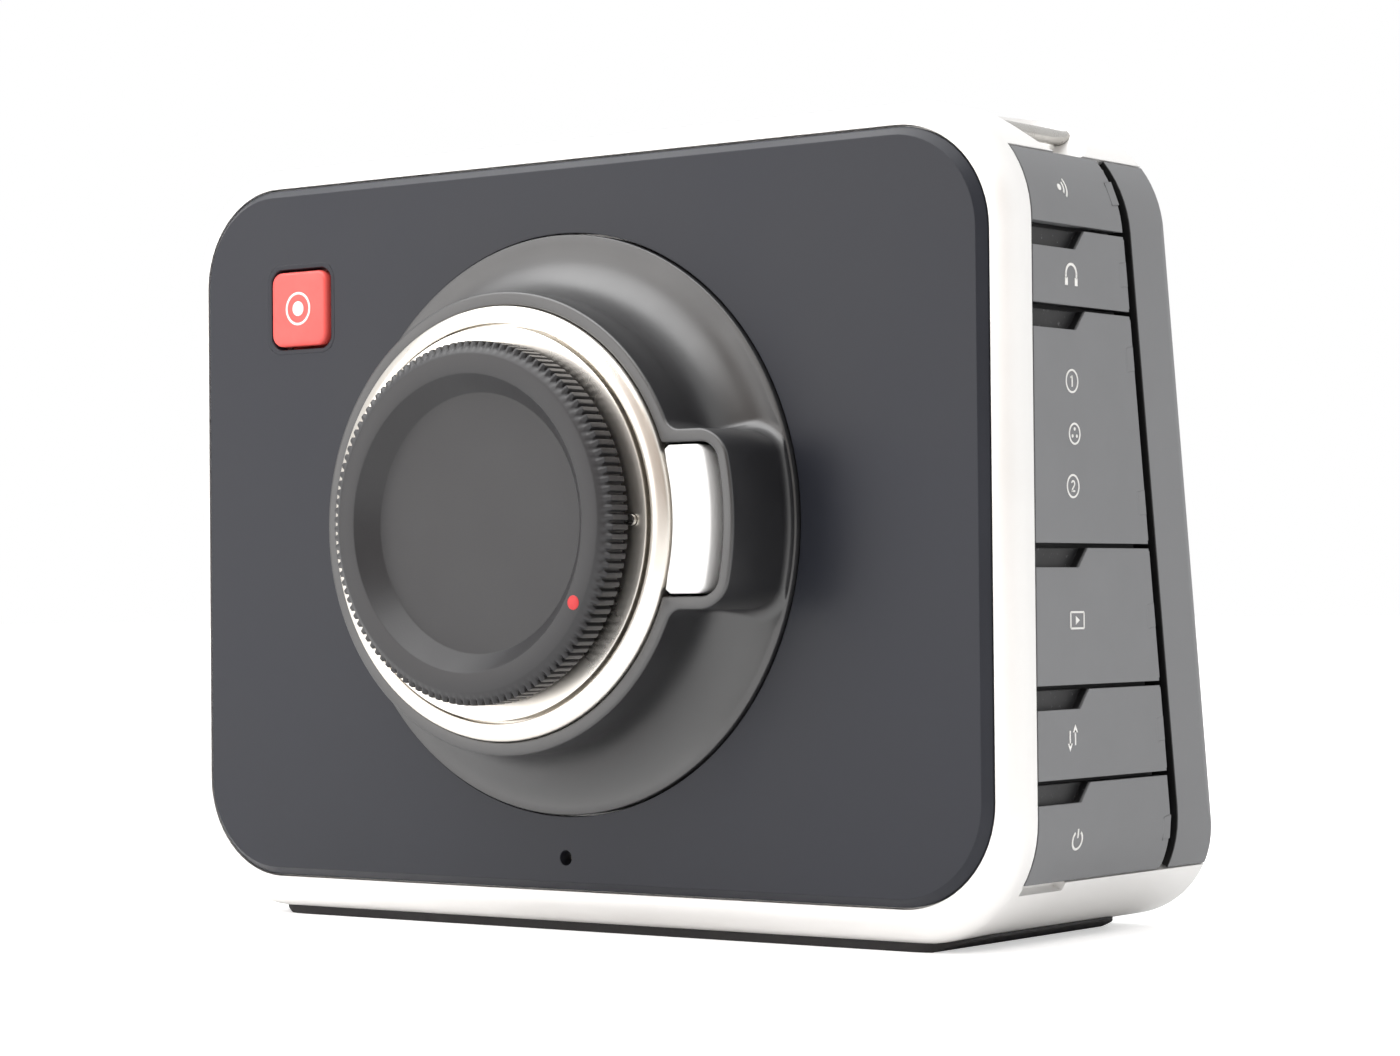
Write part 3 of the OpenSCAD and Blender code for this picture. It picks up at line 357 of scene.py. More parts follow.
# Covers: mid grey and dull, paler than the front, with finger notches painted nearly black as shade in their
# recess, and scuffed.
# The mid grey is partly painted light: it stands for the stronger light that falls on the camera's right side.
COVER_RUBBER = Finish(
    "soft_moulded_rubber", "727375", "7d7e80", 0.5, grain_mm=0.22, relief_mm=0.008, cloud_mm=10,
    notch_shade="1c1c1e",
)
# Rear shell: the covers' grey with a little more gloss, and a black line of painted shade where the groove is.
# The shell's grey is partly painted light in the same way as the covers'.
SHELL_PAINT = Finish(
    "soft_touch_shell", "707173", "7b7c7e", 0.48, grain_mm=0.2, relief_mm=0.006, groove="0a0a0b"
)
# Foot pad: a flat, dark line under the frame. Its pimples are really this coarse.
PAD_RUBBER = Finish("black_foot_rubber", "2b2a2b", "373637", 0.75, grain_mm=0.8, relief_mm=0.05, cloud_mm=8)
# Pins, inserts and screws: bright grey steel drawn out along x.
STEEL = Finish(
    "turned_stainless_steel", "b9b7b3", "a9a7a3", 0.25, Grain.BRUSHED, metallic=1.0, relief_mm=0.003,
    cloud_mm=5,
)
# Sockets and inner holders: plain black that lets the openings read as dark.
INNER_ABS = Finish("matt_black_abs", "2a2a2c", "333335", 0.6, relief_mm=0.01, cloud_mm=8)
# Floor behind the covers: the same black, with its outermost knuckles in the covers' grey.
HINGE_ABS = replace(INNER_ABS, name="port_floor_abs", outer="727375", outer_mm=80.0)
# Lens contacts: a warm, smooth yellow.
GOLD = Finish(
    "gold_plated_contact", "d9b154", "c99e42", 0.2, Grain.POLISHED, metallic=1.0, grain_mm=0.2,
    relief_mm=0.002, cloud_mm=3,
)
# Circuit boards: green under a half-gloss mask, with a weave at its real half millimetre.
BOARD = Finish(
    "solder_masked_laminate", "1e5a35", "17482a", 0.35, Grain.BRUSHED, grain_mm=0.5, relief_mm=0.02,
    cloud_mm=4,
)
# Image sensor: a violet black mirror.
SENSOR = Finish(
    "sensor_cover_silicon", "1d1826", "262038", 0.08, Grain.POLISHED, grain_mm=0.5, relief_mm=0.0005,
    cloud_mm=14, coat=0.6,
)
# Filter before the sensor: clear glass with a pale blue cast.
FILTER = Finish(
    "coated_filter_glass", "a9cbd2", "b6d4da", 0.03, Grain.POLISHED, grain_mm=2, relief_mm=0.0004, glass=0.9,
    ior=1.52,
)
# Cells: blue film with the slack ripples of shrink wrap, 3 mm wide as they really are.
BATTERY = Finish(
    "shrink_wrap_film", "27407c", "314b8b", 0.3, Grain.POLISHED, grain_mm=3, relief_mm=0.05, cloud_mm=9,
    coat=0.4,
)
# Touchscreen: black glass that mirrors the room.
SCREEN = Finish(
    "black_screen_glass", "08090b", "0d0e11", 0.06, Grain.POLISHED, grain_mm=6, relief_mm=0.0006, cloud_mm=30,
    coat=0.8, smudge=0.03,
)
# Display under the glass: a dull, dark grey film.
DISPLAY = Finish("display_polariser", "26282d", "2d3036", 0.3, Grain.POLISHED, relief_mm=0.001)
# Keys: a grey a step darker than the shell, so that they stand out without an outline.
KEY_RUBBER = Finish("moulded_key_rubber", "58585b", "636366", 0.55, grain_mm=0.2, relief_mm=0.01, cloud_mm=6)
# Signs: warm white ink, thinly and evenly laid.
PRINT = Finish("pale_pad_print", "f2f1ee", "e6e5e2", 0.5, grain_mm=0.15, relief_mm=0.002, cloud_mm=1.5)
# Index dot of the cap: a spot of deep red ink.
DOT_PAINT = Finish("red_pad_print", "c3272b", "b52226", 0.4, grain_mm=0.2, relief_mm=0.002, cloud_mm=1.0)

KEYS = ("iris", "focus", "back", "play", "next", "power")
COVERS = ("remote", "headphone", "audio", "video", "data", "power")
NODE_FINISHES: dict[Finish, tuple[str, ...]] = {
    FRAME_METAL: ("chassis_frame", "heat_spreader"),
    SOFT_TOUCH: ("front_panel",),
    PAD_RUBBER: ("foot_pad",),
    STEEL: (
        "tripod_insert", "top_inserts", "strap_pins", "mount_screws", "lock_pin", "release_spring",
        "microphone", "cover_pins", "video_socket", "data_socket", "drive_bay",
    ),
    TURRET_PAINT: ("mount_turret",),
    CHROME: ("lens_mount_ring", "trim_ring"),
    CAP_ABS: ("body_cap",),
    BUTTON_ABS: ("release_button",),
    RECORD_RED: ("rec_button",),
    COVER_RUBBER: (*(f"{name}_cover" for name in COVERS), "drive_panel", "drive_door"),
    SHELL_PAINT: ("rear_shell",),
    INNER_ABS: (
        "sensor_holder", "remote_jack", "headphone_jack", "audio_jacks", "power_socket", "door_latch",
        "drive_connector",
    ),
    HINGE_ABS: ("port_panel",),
    GOLD: ("contact_block",),
    BOARD: ("rec_switch", "sensor_board", "main_board", "key_board"),
    SENSOR: ("sensor",),
    FILTER: ("sensor_filter",),
    BATTERY: ("battery_pack",),
    SCREEN: ("screen_glass",),
    DISPLAY: ("display_panel",),
    KEY_RUBBER: tuple(f"{name}_key" for name in KEYS),
}


def around(start: float, stop: float, step: float) -> list[float]:
    """Angles in degrees from start up to, but without, stop."""
    count = max(1, round((stop - start) / step))
    return [start + (stop - start) * i / count for i in range(count)]


def quarter(steps: int) -> list[Flat]:
    """Shares of a rounding's radius, across and down, from the wall to the top in equal turns."""
    turns = [math.radians(90 * step / steps) for step in range(steps + 1)]
    return [(1 - math.cos(turn), 1 - math.sin(turn)) for turn in turns]


def rounded_meet(a: float, b: float, radius: float) -> float:
    """Distance to the overlap of two outlines, with its corner rounded."""
    return min(-radius, max(a, b)) + math.hypot(max(radius + a, 0.0), max(radius + b, 0.0))


def rounded_join(a: float, b: float, radius: float) -> float:
    """Distance to two outlines joined, with the inner corner filled."""
    return max(radius, min(a, b)) - math.hypot(max(radius - a, 0.0), max(radius - b, 0.0))


def boundary(outside: Outline, nearest: float, farthest: float, start: float = 0.0) -> Radius:
    """Finds where rays from a centre leave an outline, by halving.

    Args:
        outside: the outline's distance, positive outside.
        nearest: a radius that is inside at every angle.
        farthest: a radius that is outside at every angle.
        start: x of the centre.

    Returns:
        The radius by angle.
    """

    def radius(angle: float) -> float:
        """The radius at an angle in degrees."""
        turn = math.radians(angle)
        near, far = nearest, farthest
        for _ in range(40):
            at = (near + far) / 2
            if outside(start + at * math.cos(turn), at * math.sin(turn)) > 0:
                far = at
            else:
                near = at
        return near

    return radius


def steady(value: float) -> Radius:
    """A radius or height that is the same all round."""
    return lambda angle: value


def turned(profile: Sequence[Flat]) -> list[Level]:
    """Levels of a plain turned part, from its radii and heights."""
    return [(steady(radius), steady(height)) for radius, height in profile]


class Shape:
    """A mesh in millimetres, x to the right and z up from the lens axis, y back from the panel's face."""

    def __init__(self) -> None:
        """Starts an empty mesh."""
        self.mesh = bmesh.new()

    def loft(
        self, angles: Sequence[float], levels: Sequence[Level], centre: Flat = (0.0, 0.0), ring: bool = False
    ) -> None:
        """Extrudes a circle's edge from level to level round the lens axis.

        Args:
            angles: where the points stand, in degrees.
            levels: for each level, distance from the centre and height in front of the panel, by angle.
            centre: x and z of the centre.
            ring: joins the last level to the first, where otherwise both ends are closed.
        """
        made = bmesh.ops.create_circle(self.mesh, cap_ends=False, segments=len(angles), radius=1.0)
        points = made["verts"]
        edges = list(dict.fromkeys(edge for point in points for edge in point.link_edges))
        first = edges
        for number, (radius, height) in enumerate(levels):
            if number:
                points, edges = self._grow(points, edges)
            for angle, point in zip(angles, points):
                turn = math.radians(angle)
                away = radius(angle)
                x, z = centre[0] + away * math.cos(turn), centre[1] + away * math.sin(turn)
                point.co = (x, -height(angle), z)
        if ring:
            bmesh.ops.bridge_loops(self.mesh, edges=first + edges)
        else:
            bmesh.ops.edgeloop_fill(self.mesh, edges=first)
            bmesh.ops.edgeloop_fill(self.mesh, edges=edges)

    def _grow(
        self, points: Sequence[bmesh.types.BMVert], edges: Sequence[bmesh.types.BMEdge]
    ) -> tuple[list[bmesh.types.BMVert], list[bmesh.types.BMEdge]]:
        """Extrudes a loop, and returns the new one's points in the same order, and its edges."""
        grown = bmesh.ops.extrude_edge_only(self.mesh, edges=edges)["geom"]
        fresh = {item for item in grown if isinstance(item, bmesh.types.BMVert)}
        ordered = []
        for point in points:
            ends = [edge.other_vert(point) for edge in point.link_edges]
            ordered.append(next(end for end in ends if end in fresh))
        loop = [item for item in grown if isinstance(item, bmesh.types.BMEdge)]
        return ordered, [edge for edge in loop if edge.verts[0] in fresh and edge.verts[1] in fresh]

    def bar(self, low: Point, high: Point) -> None:
        """Adds a block between its lowest and its highest corner."""
        size = [b - a for a, b in zip(low, high)]
        middle = [(a + b) / 2 for a, b in zip(low, high)]
        place = Matrix.Translation(middle) @ Matrix.Diagonal((*size, 1.0))
        bmesh.ops.create_cube(self.mesh, size=1.0, matrix=place)

    def order(self) -> None:
        """Sorts points, edges and faces by place, as Blender's own order changes from run to run."""
        for kind in ("verts", "edges", "faces"):
            items = getattr(self.mesh, kind)
            if kind == "verts":
                ranked = sorted(items, key=lambda point: tuple(point.co))
            else:
                ranked = sorted(items, key=lambda item: sorted(point.index for point in item.verts))
            ranks = {item: rank for rank, item in enumerate(ranked)}
            items.sort(key=ranks.__getitem__)
            items.index_update()

    def finish(
        self, name: str, look: Finish, body: str, slot: str, stands_for: Sequence[str] = (), sharp: float = 32.0
    ) -> None:
        """Places the mesh in the CAD frame and makes it a piece.

        Args:
            name: the piece's name.
            look: its finish.
            body: the CAD body that it rides on.
            slot: the record's material slot; not used.
            stands_for: the CAD nodes that it replaces.
            sharp: edges sharper than this, in degrees, are not shaded smooth.
        """
        self.order()
        bmesh.ops.remove_doubles(self.mesh, verts=self.mesh.verts, dist=1e-5)
        self.order()
        bmesh.ops.recalc_face_normals(self.mesh, faces=self.mesh.faces)
        bmesh.ops.translate(self.mesh, verts=self.mesh.verts, vec=(0.0, BODY.front, BODY.axis))
        bmesh.ops.scale(self.mesh, verts=self.mesh.verts, vec=(MM, MM, MM))
        for face in self.mesh.faces:
            face.smooth = True
        data = bpy.data.meshes.new(name)
        self.mesh.to_mesh(data)
        self.mesh.free()
        data.set_sharp_from_angle(angle=math.radians(sharp))
        data.materials.append(look.material())
        piece = put(name, data)
        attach(piece, body)
        if stands_for:
            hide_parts(*stands_for)
        LOG.info("%s: %d faces", name, len(data.polygons))


@dataclass
class Turret:
    """The lens mount's housing: a flared collar with the guard round the release button."""

    rim: float = 45.9
    rim_height: float = 0.8
    rim_edge: float = 0.3
    collar: float = 35.95
    height: float = 15.8
    flare: float = 8.6
    guard: float = 45.1
    guard_half: float = 13.5
    guard_round: float = 4.2
    guard_fillet: float = 1.6
    bore: float = 33.85
    pocket: float = 43.2
    pocket_half: float = 11.5
    pocket_round: float = 2.4
    pocket_floor: float = 1.4
    seat: float = 14.1
    seat_line: float = 32.9
    throat: float = 28.4
    base: float = -2.0
    edge: float = 0.45
    inner_edge: float = 0.25
    foot: float = 2.2
    foot_rise: float = 2.5

    def outline(self, x: float, z: float) -> float:
        """Distance outside the collar and the guard, in plan."""
        away = math.hypot(x, z)
        guard = away
        if x > 0:
            guard = rounded_meet(abs(z) - self.guard_half, away - self.guard, self.guard_round)
        return rounded_join(away - self.collar, guard, self.guard_fillet)

    def opening(self, x: float, z: float) -> float:
        """Distance outside the bore and the button's pocket, in plan."""
        away = math.hypot(x, z)
        pocket = away
        if x > 0:
            pocket = rounded_meet(abs(z) - self.pocket_half, away - self.pocket, self.pocket_round)
        return rounded_join(away - self.bore, pocket, 0.3)

    def reach(self, shape: Outline, inset: float) -> Radius:
        """Radius by angle of a plan outline, moved in by inset or out by a negative one."""
        return boundary(lambda x, z: shape(x, z) + inset, 20.0, 60.0)

    def slope(self, angle: float, away: float, wall: float) -> float:
        """Height of the flared skirt, with the soft foot of the guard's wall.

        Args:
            angle: degrees round the lens axis.
            away: distance from the axis.
            wall: distance of the collar's or guard's wall from the axis.

        Returns:
            The height in front of the panel.
        """
        turn = math.radians(angle)
        inner = self.collar + self.flare
        reach = min(max(inner - away, 0.0), self.flare)
        height = self.rim_height + self.flare - math.sqrt(self.flare**2 - reach**2)
        gap = self.outline(away * math.cos(turn), away * math.sin(turn))
        near = min(max(gap, 0.0), self.foot)
        share = min(max((wall - self.collar - 0.3) / self.foot_rise, 0.0), 1.0)
        share = share * share * (3 - 2 * share)
        fillet = self.foot - math.sqrt(self.foot**2 - (self.foot - near) ** 2)
        return min(height + share * fillet, self.height - self.edge)

    def build(self) -> None:
        """Builds the turret in place of its CAD node."""
        dense = around(12.5, 25.0, 0.32)
        angles = around(-12.5, 12.5, 1.0) + dense + around(25.0, 335.0, 2.0) + [-a for a in reversed(dense)]
        angles = sorted({round(a % 360, 4) for a in angles})
        wall = {a: self.reach(self.outline, 0.0)(a) for a in angles}
        soft = self.rim_edge
        levels = turned([
            (self.rim, self.base), (self.rim, self.rim_height - soft),
            (self.rim - 0.3 * soft, self.rim_height - 0.3 * soft), (self.rim - soft, self.rim_height),
        ])
        for step in range(14, -1, -1):
            share = 1 - math.cos(math.radians(90 * step / 15))
            spot = lambda a, share=share: wall[a] + (self.rim - 0.32 - wall[a]) * share
            levels.append((spot, lambda a, spot=spot: self.slope(a, spot(a), wall[a])))
        for across, down in quarter(4):
            lip = steady(self.height - self.edge * down)
            levels.append((self.reach(self.outline, self.edge * across), lip))
        for across, down in quarter(3):
            lip = steady(self.height - self.inner_edge * across)
            levels.append((self.reach(self.opening, -self.inner_edge * down), lip))
        opening = self.reach(self.opening, 0.0)
        floor = lambda a: self.pocket_floor if opening(a) > self.bore + 1.0 else self.seat
        levels += [(opening, floor), (steady(self.seat_line + 0.05), floor)]
        levels += turned([(self.seat_line, self.seat), (self.throat, self.seat), (self.throat, self.base)])
        shape = Shape()
        shape.loft(angles, levels, ring=True)
        shape.finish("turret_housing", TURRET_PAINT, "camera", "turret_black", ["mount_turret"])


@dataclass
class BodyCap:
    """The mount's cap: knurled edge, raised annulus and dished face, with its index dot."""

    outer: float = 28.0
    ridges: int = 120
    depth: float = 0.7
    back: float = 18.5
    face: float = 23.9
    dish: float = 22.8
    floor: float = 20.2
    dish_depth: float = 3.2
    hollow: float = 18.9
    lug: float = 26.3
    lug_half: float = 25.0
    lug_back: float = 14.25
    lug_front: float = 15.65
    neck: float = 24.65
    neck_top: float = 18.15
    shoulder: float = 26.4
    dot: float = 1.1
    dot_away: float = 24.6
    dot_angle: float = -30.0

    def ridge(self, inset: float, shares: Sequence[float] = (0.0, 0.0, 0.0, 0.0, 1.0, 1.0)) -> Radius:
        """Radius by angle of the knurl, moved in, with shares for how deep a ridge's six points lie."""

        def radius(angle: float) -> float:
            """The knurl's radius at an angle in degrees."""
            phase = round(angle * self.ridges * 6 / 360) % 6
            return self.outer - inset - self.depth * shares[phase]

        return radius

    def lugs(self, angle: float) -> float:
        """Radius of the neck with its three bayonet lugs."""
        from_middle = (angle + 60) % 120 - 60
        return self.lug if abs(from_middle) <= self.lug_half else self.neck

    def build(self) -> None:
        """Builds the cap in place of its CAD node, and the dot."""
        count = self.ridges * 6
        angles = [360 * i / count for i in range(count)]
        top, bottom = self.face, self.face - self.dish_depth
        worn = (0.9, 0.1, 0.1, 0.9, 1.2, 1.2)
        levels = turned([(0.6, self.hollow), (22.8, self.hollow), (22.85, self.lug_back)])
        levels += [(self.lugs, steady(self.lug_back)), (self.lugs, steady(self.lug_front))]
        levels += turned([
            (self.neck, self.lug_front), (self.neck, self.neck_top),
            (self.shoulder, self.neck_top), (self.shoulder, self.back),
        ])
        levels += [
            (self.ridge(0.5), steady(self.back)), (self.ridge(0.0), steady(self.back + 0.5)),
            (self.ridge(0.0), steady(top - 1.25)), (self.ridge(0.1, worn), steady(top - 0.95)),
        ]
        levels += turned([
            (26.85, top - 0.6), (26.15, top - 0.08), (25.9, top), (self.dish + 0.45, top),
            (self.dish + 0.15, top - 0.06), (self.dish - 0.02, top - 0.22),
            (self.floor + 0.12, bottom + 0.16), (self.floor - 0.1, bottom), (self.floor - 0.9, bottom),
            (14.0, bottom - 0.02), (8.0, bottom - 0.03), (3.0, bottom - 0.03), (0.6, bottom - 0.03),
        ])
        shape = Shape()
        shape.loft(angles, levels)
        shape.finish("mount_cap", CAP_ABS, "body_cap_body", "cap_black", ["body_cap"], sharp=28.0)
        turn = math.radians(self.dot_angle)
        middle = (self.dot_away * math.cos(turn), self.dot_away * math.sin(turn))
        ink = [(self.dot, top - 0.1), (self.dot, top + 0.02), (self.dot - 0.08, top + 0.05), (0.3, top + 0.06)]
        dot = Shape()
        dot.loft([360 * i / 32 for i in range(32)], turned(ink), centre=middle)
        dot.finish("cap_index_dot", DOT_PAINT, "body_cap_body", "button_red")


@dataclass
class ReleaseButton:
    """The lens release: a curved white button in the guard's pocket, on its lever."""

    inner: float = 34.1
    outer: float = 41.3
    half: float = 11.1
    foot: float = 6.0
    top: float = 16.3
    edge: float = 0.4
    corner: float = 1.5
    crown: float = 0.05
    lever: tuple[Point, Point] = ((25.1, -7.6, -3.0), (40.3, -6.0, 3.0))

    def outline(self, x: float, z: float) -> float:
        """Distance outside the button, in plan."""
        away = math.hypot(x, z)
        band = max(away - self.outer, self.inner - away)
        return rounded_meet(abs(z) - self.half, band, self.corner)

    def build(self) -> None:
        """Builds the button and its lever in place of their CAD node."""
        middle = (self.inner + self.outer) / 2 + 0.25
        dense = around(68, 112, 1.0) + around(248, 292, 1.0)
        angles = sorted({round(a % 360, 3) for a in around(0, 360, 4.0) + dense})

        def level(inset: float, height: float) -> Level:
            """The outline, moved in, at a height."""
            edge = boundary(lambda x, z: self.outline(x, z) + inset, 0.0, 14.0, middle)
            return (edge, steady(height))

        levels = [level(0.1, self.foot), level(0.0, self.foot + 0.2)]
        for across, down in quarter(6):
            levels.append(level(self.edge * across, self.top - self.edge * down - self.crown))
        levels += [level(2.0, self.top), level(3.0, self.top)]
        shape = Shape()
        shape.loft(angles, levels, centre=(middle, 0.0))
        shape.bar(*self.lever)
        shape.finish("lens_release", BUTTON_ABS, "release_body", "button_white", ["release_button"])


@dataclass
class TrimRing:
    """The mount's outer chrome ring, turned, with a fine line inside it."""

    inner: float = 30.95
    outer: float = 33.75
    foot: float = 15.3

    def build(self) -> None:
        """Builds the ring in place of its CAD node."""
        profile = [
            (self.inner, self.foot), (self.inner, 17.2), (self.inner + 0.06, 17.3), (self.inner + 0.2, 17.36),
            (32.3, 17.02), (33.2, 16.72), (33.5, 16.56), (self.outer - 0.06, 16.35), (self.outer, 16.1),
            (self.outer, self.foot),
        ]
        shape = Shape()
        shape.loft(around(0, 360, 1.5), turned(profile), ring=True)
        shape.finish("chrome_trim", CHROME, "camera", "chrome", ["trim_ring"], sharp=50.0)


@dataclass
class RecordButton:
    """The red record button and the rounded rim of its opening."""

    proud: float = 0.75
    width: float = 12.5
    corner: float = 2.1
    ease: float = 0.7
    crown: float = 0.04
    flange: float = 1.6
    opening: float = 13.45

    def level(self, width: float, corner: float, height: float) -> Level:
        """A level of a square with rounded corners, at a height in front of the panel."""
        square = lambda x, z: rounded_meet(abs(x) - width / 2, abs(z) - width / 2, corner)
        return (boundary(square, 0.0, width), steady(height))

    def build(self) -> None:
        """Builds the button in place of its CAD node, and the rim on the panel."""
        angles = around(0, 360, 2.5)
        flange = self.width + self.flange
        feet = ((flange, -5.9), (flange, -5.1), (self.width, -5.1))
        levels = [self.level(width, self.corner, height) for width, height in feet]
        for across, down in quarter(5):
            inset = self.ease * across
            height = self.proud - self.ease * down - self.crown
            levels.append(self.level(self.width - 2 * inset, max(self.corner - inset, 0.5), height))
        levels.append(self.level(self.width - 4.0, 0.9, self.proud))
        button = Shape()
        button.loft(angles, levels, centre=BODY.record)
        button.finish("record_key", RECORD_RED, "record_button_body", "button_red", ["rec_button"])
        rim = [
            (1.7, 3.0, -0.05), (1.7, 3.0, 0.012), (0.7, 2.75, 0.012), (0.3, 2.6, -0.06), (0.08, 2.45, -0.22),
            (0.0, 2.4, -0.45), (0.0, 2.4, -2.4), (0.1, 2.4, -2.4), (0.1, 2.4, -0.5),
        ]
        frame = Shape()
        wider = [self.level(self.opening + wide, corner, height) for wide, corner, height in rim]
        frame.loft(angles, wider, centre=BODY.record, ring=True)
        frame.finish("record_rim", SOFT_TOUCH, "camera", "soft_black")


@dataclass
class HingeSkins:
    """The covers' unbroken outer skin over the hinge knuckles."""

    knuckle: float = 3.74
    barrel: float = 1.15
    length: float = 2.14
    shift: float = -0.78
    sunk: float = 0.66

    def build(self) -> None:
        """Builds one skin for each knuckle, on its cover."""
        tilt = math.radians(BODY.tilt)
        rows = {
            "remote_cover": (48.59, -17.0, (0.0,)),
            "headphone_cover": (36.8, 0.0, (0.0,)),
            "audio_cover": (13.15, 0.0, (-11.0, 11.0)),
            "video_cover": (-15.0, 0.0, (0.0,)),
            "data_cover": (-32.45, 0.0, (0.0,)),
            "power_cover": (-47.49, 9.0, (0.0,)),
            "drive_door": (0.0, 0.0, (-27.0, 27.0)),
        }
        for name, (height, lean, places) in rows.items():
            side = -1 if name == "drive_door" else 1
            low, high = (1.15, self.barrel - 0.05 + self.sunk) if lean else (1.1, self.barrel - 0.008)
            x = BODY.side(height) - self.barrel - (self.sunk if lean else 0.0)
            y = BODY.groove - self.barrel + 0.05 - height * math.tan(tilt)
            turn = Matrix.Rotation(math.radians(lean), 4, "Y") @ Matrix.Rotation(tilt, 4, "X")
            hinge = Matrix.Translation(Vector((side * x, y, height))) @ turn
            size = Matrix.Diagonal((high - low, self.length, self.knuckle, 1.0))
            shape = Shape()
            for place in places:
                middle = Matrix.Translation(Vector((side * (low + high) / 2, self.shift, place)))
                bmesh.ops.create_cube(shape.mesh, size=1.0, matrix=hinge @ middle @ size)
            shape.finish(f"{name}_hinge_skin", COVER_RUBBER, f"{name}_body", "cover_rubber")


def laid(x: float, z: float, turn: float = 0.0) -> Matrix:
    """Lays a flat shape of the x-y plane upright at x and z, turned by an angle in radians."""
    upright = Matrix.Rotation(math.radians(90), 4, "X")
    return Matrix.Translation((x, 0.0, z)) @ Matrix.Rotation(-turn, 4, "Y") @ upright


@dataclass
class Sign:
    """A generic printed sign, drawn in millimetres on a flat field and laid on its surface."""

    name: str
    place: Place
    body: str
    stroke: float = 0.38
    thick: float = 0.05
    shape: Shape = field(default_factory=Shape)

    def ring(
        self, middle: Flat, radius: float, start: float = 0.0, sweep: float = 360.0, thick: Optional[float] = None
    ) -> None:
        """Draws a ring or an arc.

        Args:
            middle: its centre.
            radius: radius of its middle line.
            start: first angle, in degrees.
            sweep: angle that it covers.
            thick: stroke, where it differs.
        """
        half = (thick or self.stroke) / 2
        turn = math.radians(start)
        mesh = self.shape.mesh
        line = [
            mesh.verts.new((middle[0] + r * math.cos(turn), 0.0, middle[1] + r * math.sin(turn)))
            for r in (radius - half, radius + half)
        ]
        bmesh.ops.spin(
            mesh,
            geom=[*line, mesh.edges.new(line)],
            cent=(middle[0], 0.0, middle[1]),
            axis=(0.0, -1.0, 0.0),
            angle=math.radians(sweep),
            steps=max(6, round(sweep / 9)),
            use_merge=sweep >= 360,
            use_duplicate=False,
        )

    def disc(self, middle: Flat, radius: float) -> None:
        """Draws a filled dot."""
        place = laid(*middle)
        bmesh.ops.create_circle(self.shape.mesh, cap_ends=True, segments=28, radius=radius, matrix=place)

    def line(self, start: Flat, end: Flat, thick: Optional[float] = None) -> None:
        """Draws a straight stroke."""
        across, up = end[0] - start[0], end[1] - start[1]
        place = laid((start[0] + end[0]) / 2, (start[1] + end[1]) / 2, math.atan2(up, across))
        size = Matrix.Diagonal((math.hypot(across, up), thick or self.stroke, 1.0, 1.0))
        bmesh.ops.create_grid(self.shape.mesh, x_segments=6, y_segments=1, size=0.5, matrix=place @ size)

    def wedge(self, middle: Flat, size: float, turn: float) -> None:
        """Draws a filled triangle that points along an angle."""
        place = laid(*middle, math.radians(turn)) @ Matrix.Rotation(math.radians(-90), 4, "Z")
        bmesh.ops.create_circle(self.shape.mesh, cap_ends=True, segments=3, radius=size, matrix=place)

    def build(self) -> None:
        """Gives the strokes their thickness and lays them on the surface."""
        mesh = self.shape.mesh
        flat = list(mesh.faces)
        bmesh.ops.recalc_face_normals(mesh, faces=flat)
        grown = bmesh.ops.extrude_face_region(mesh, geom=flat)["geom"]
        raised = {item for item in grown if isinstance(item, bmesh.types.BMVert)}
        for point in mesh.verts:
            x, y, z = self.place(point.co.x, point.co.z, self.thick if point in raised else -0.02)
            point.co = (x, y - BODY.front, z - BODY.axis)
        self.shape.finish(self.name, PRINT, self.body, "button_white")


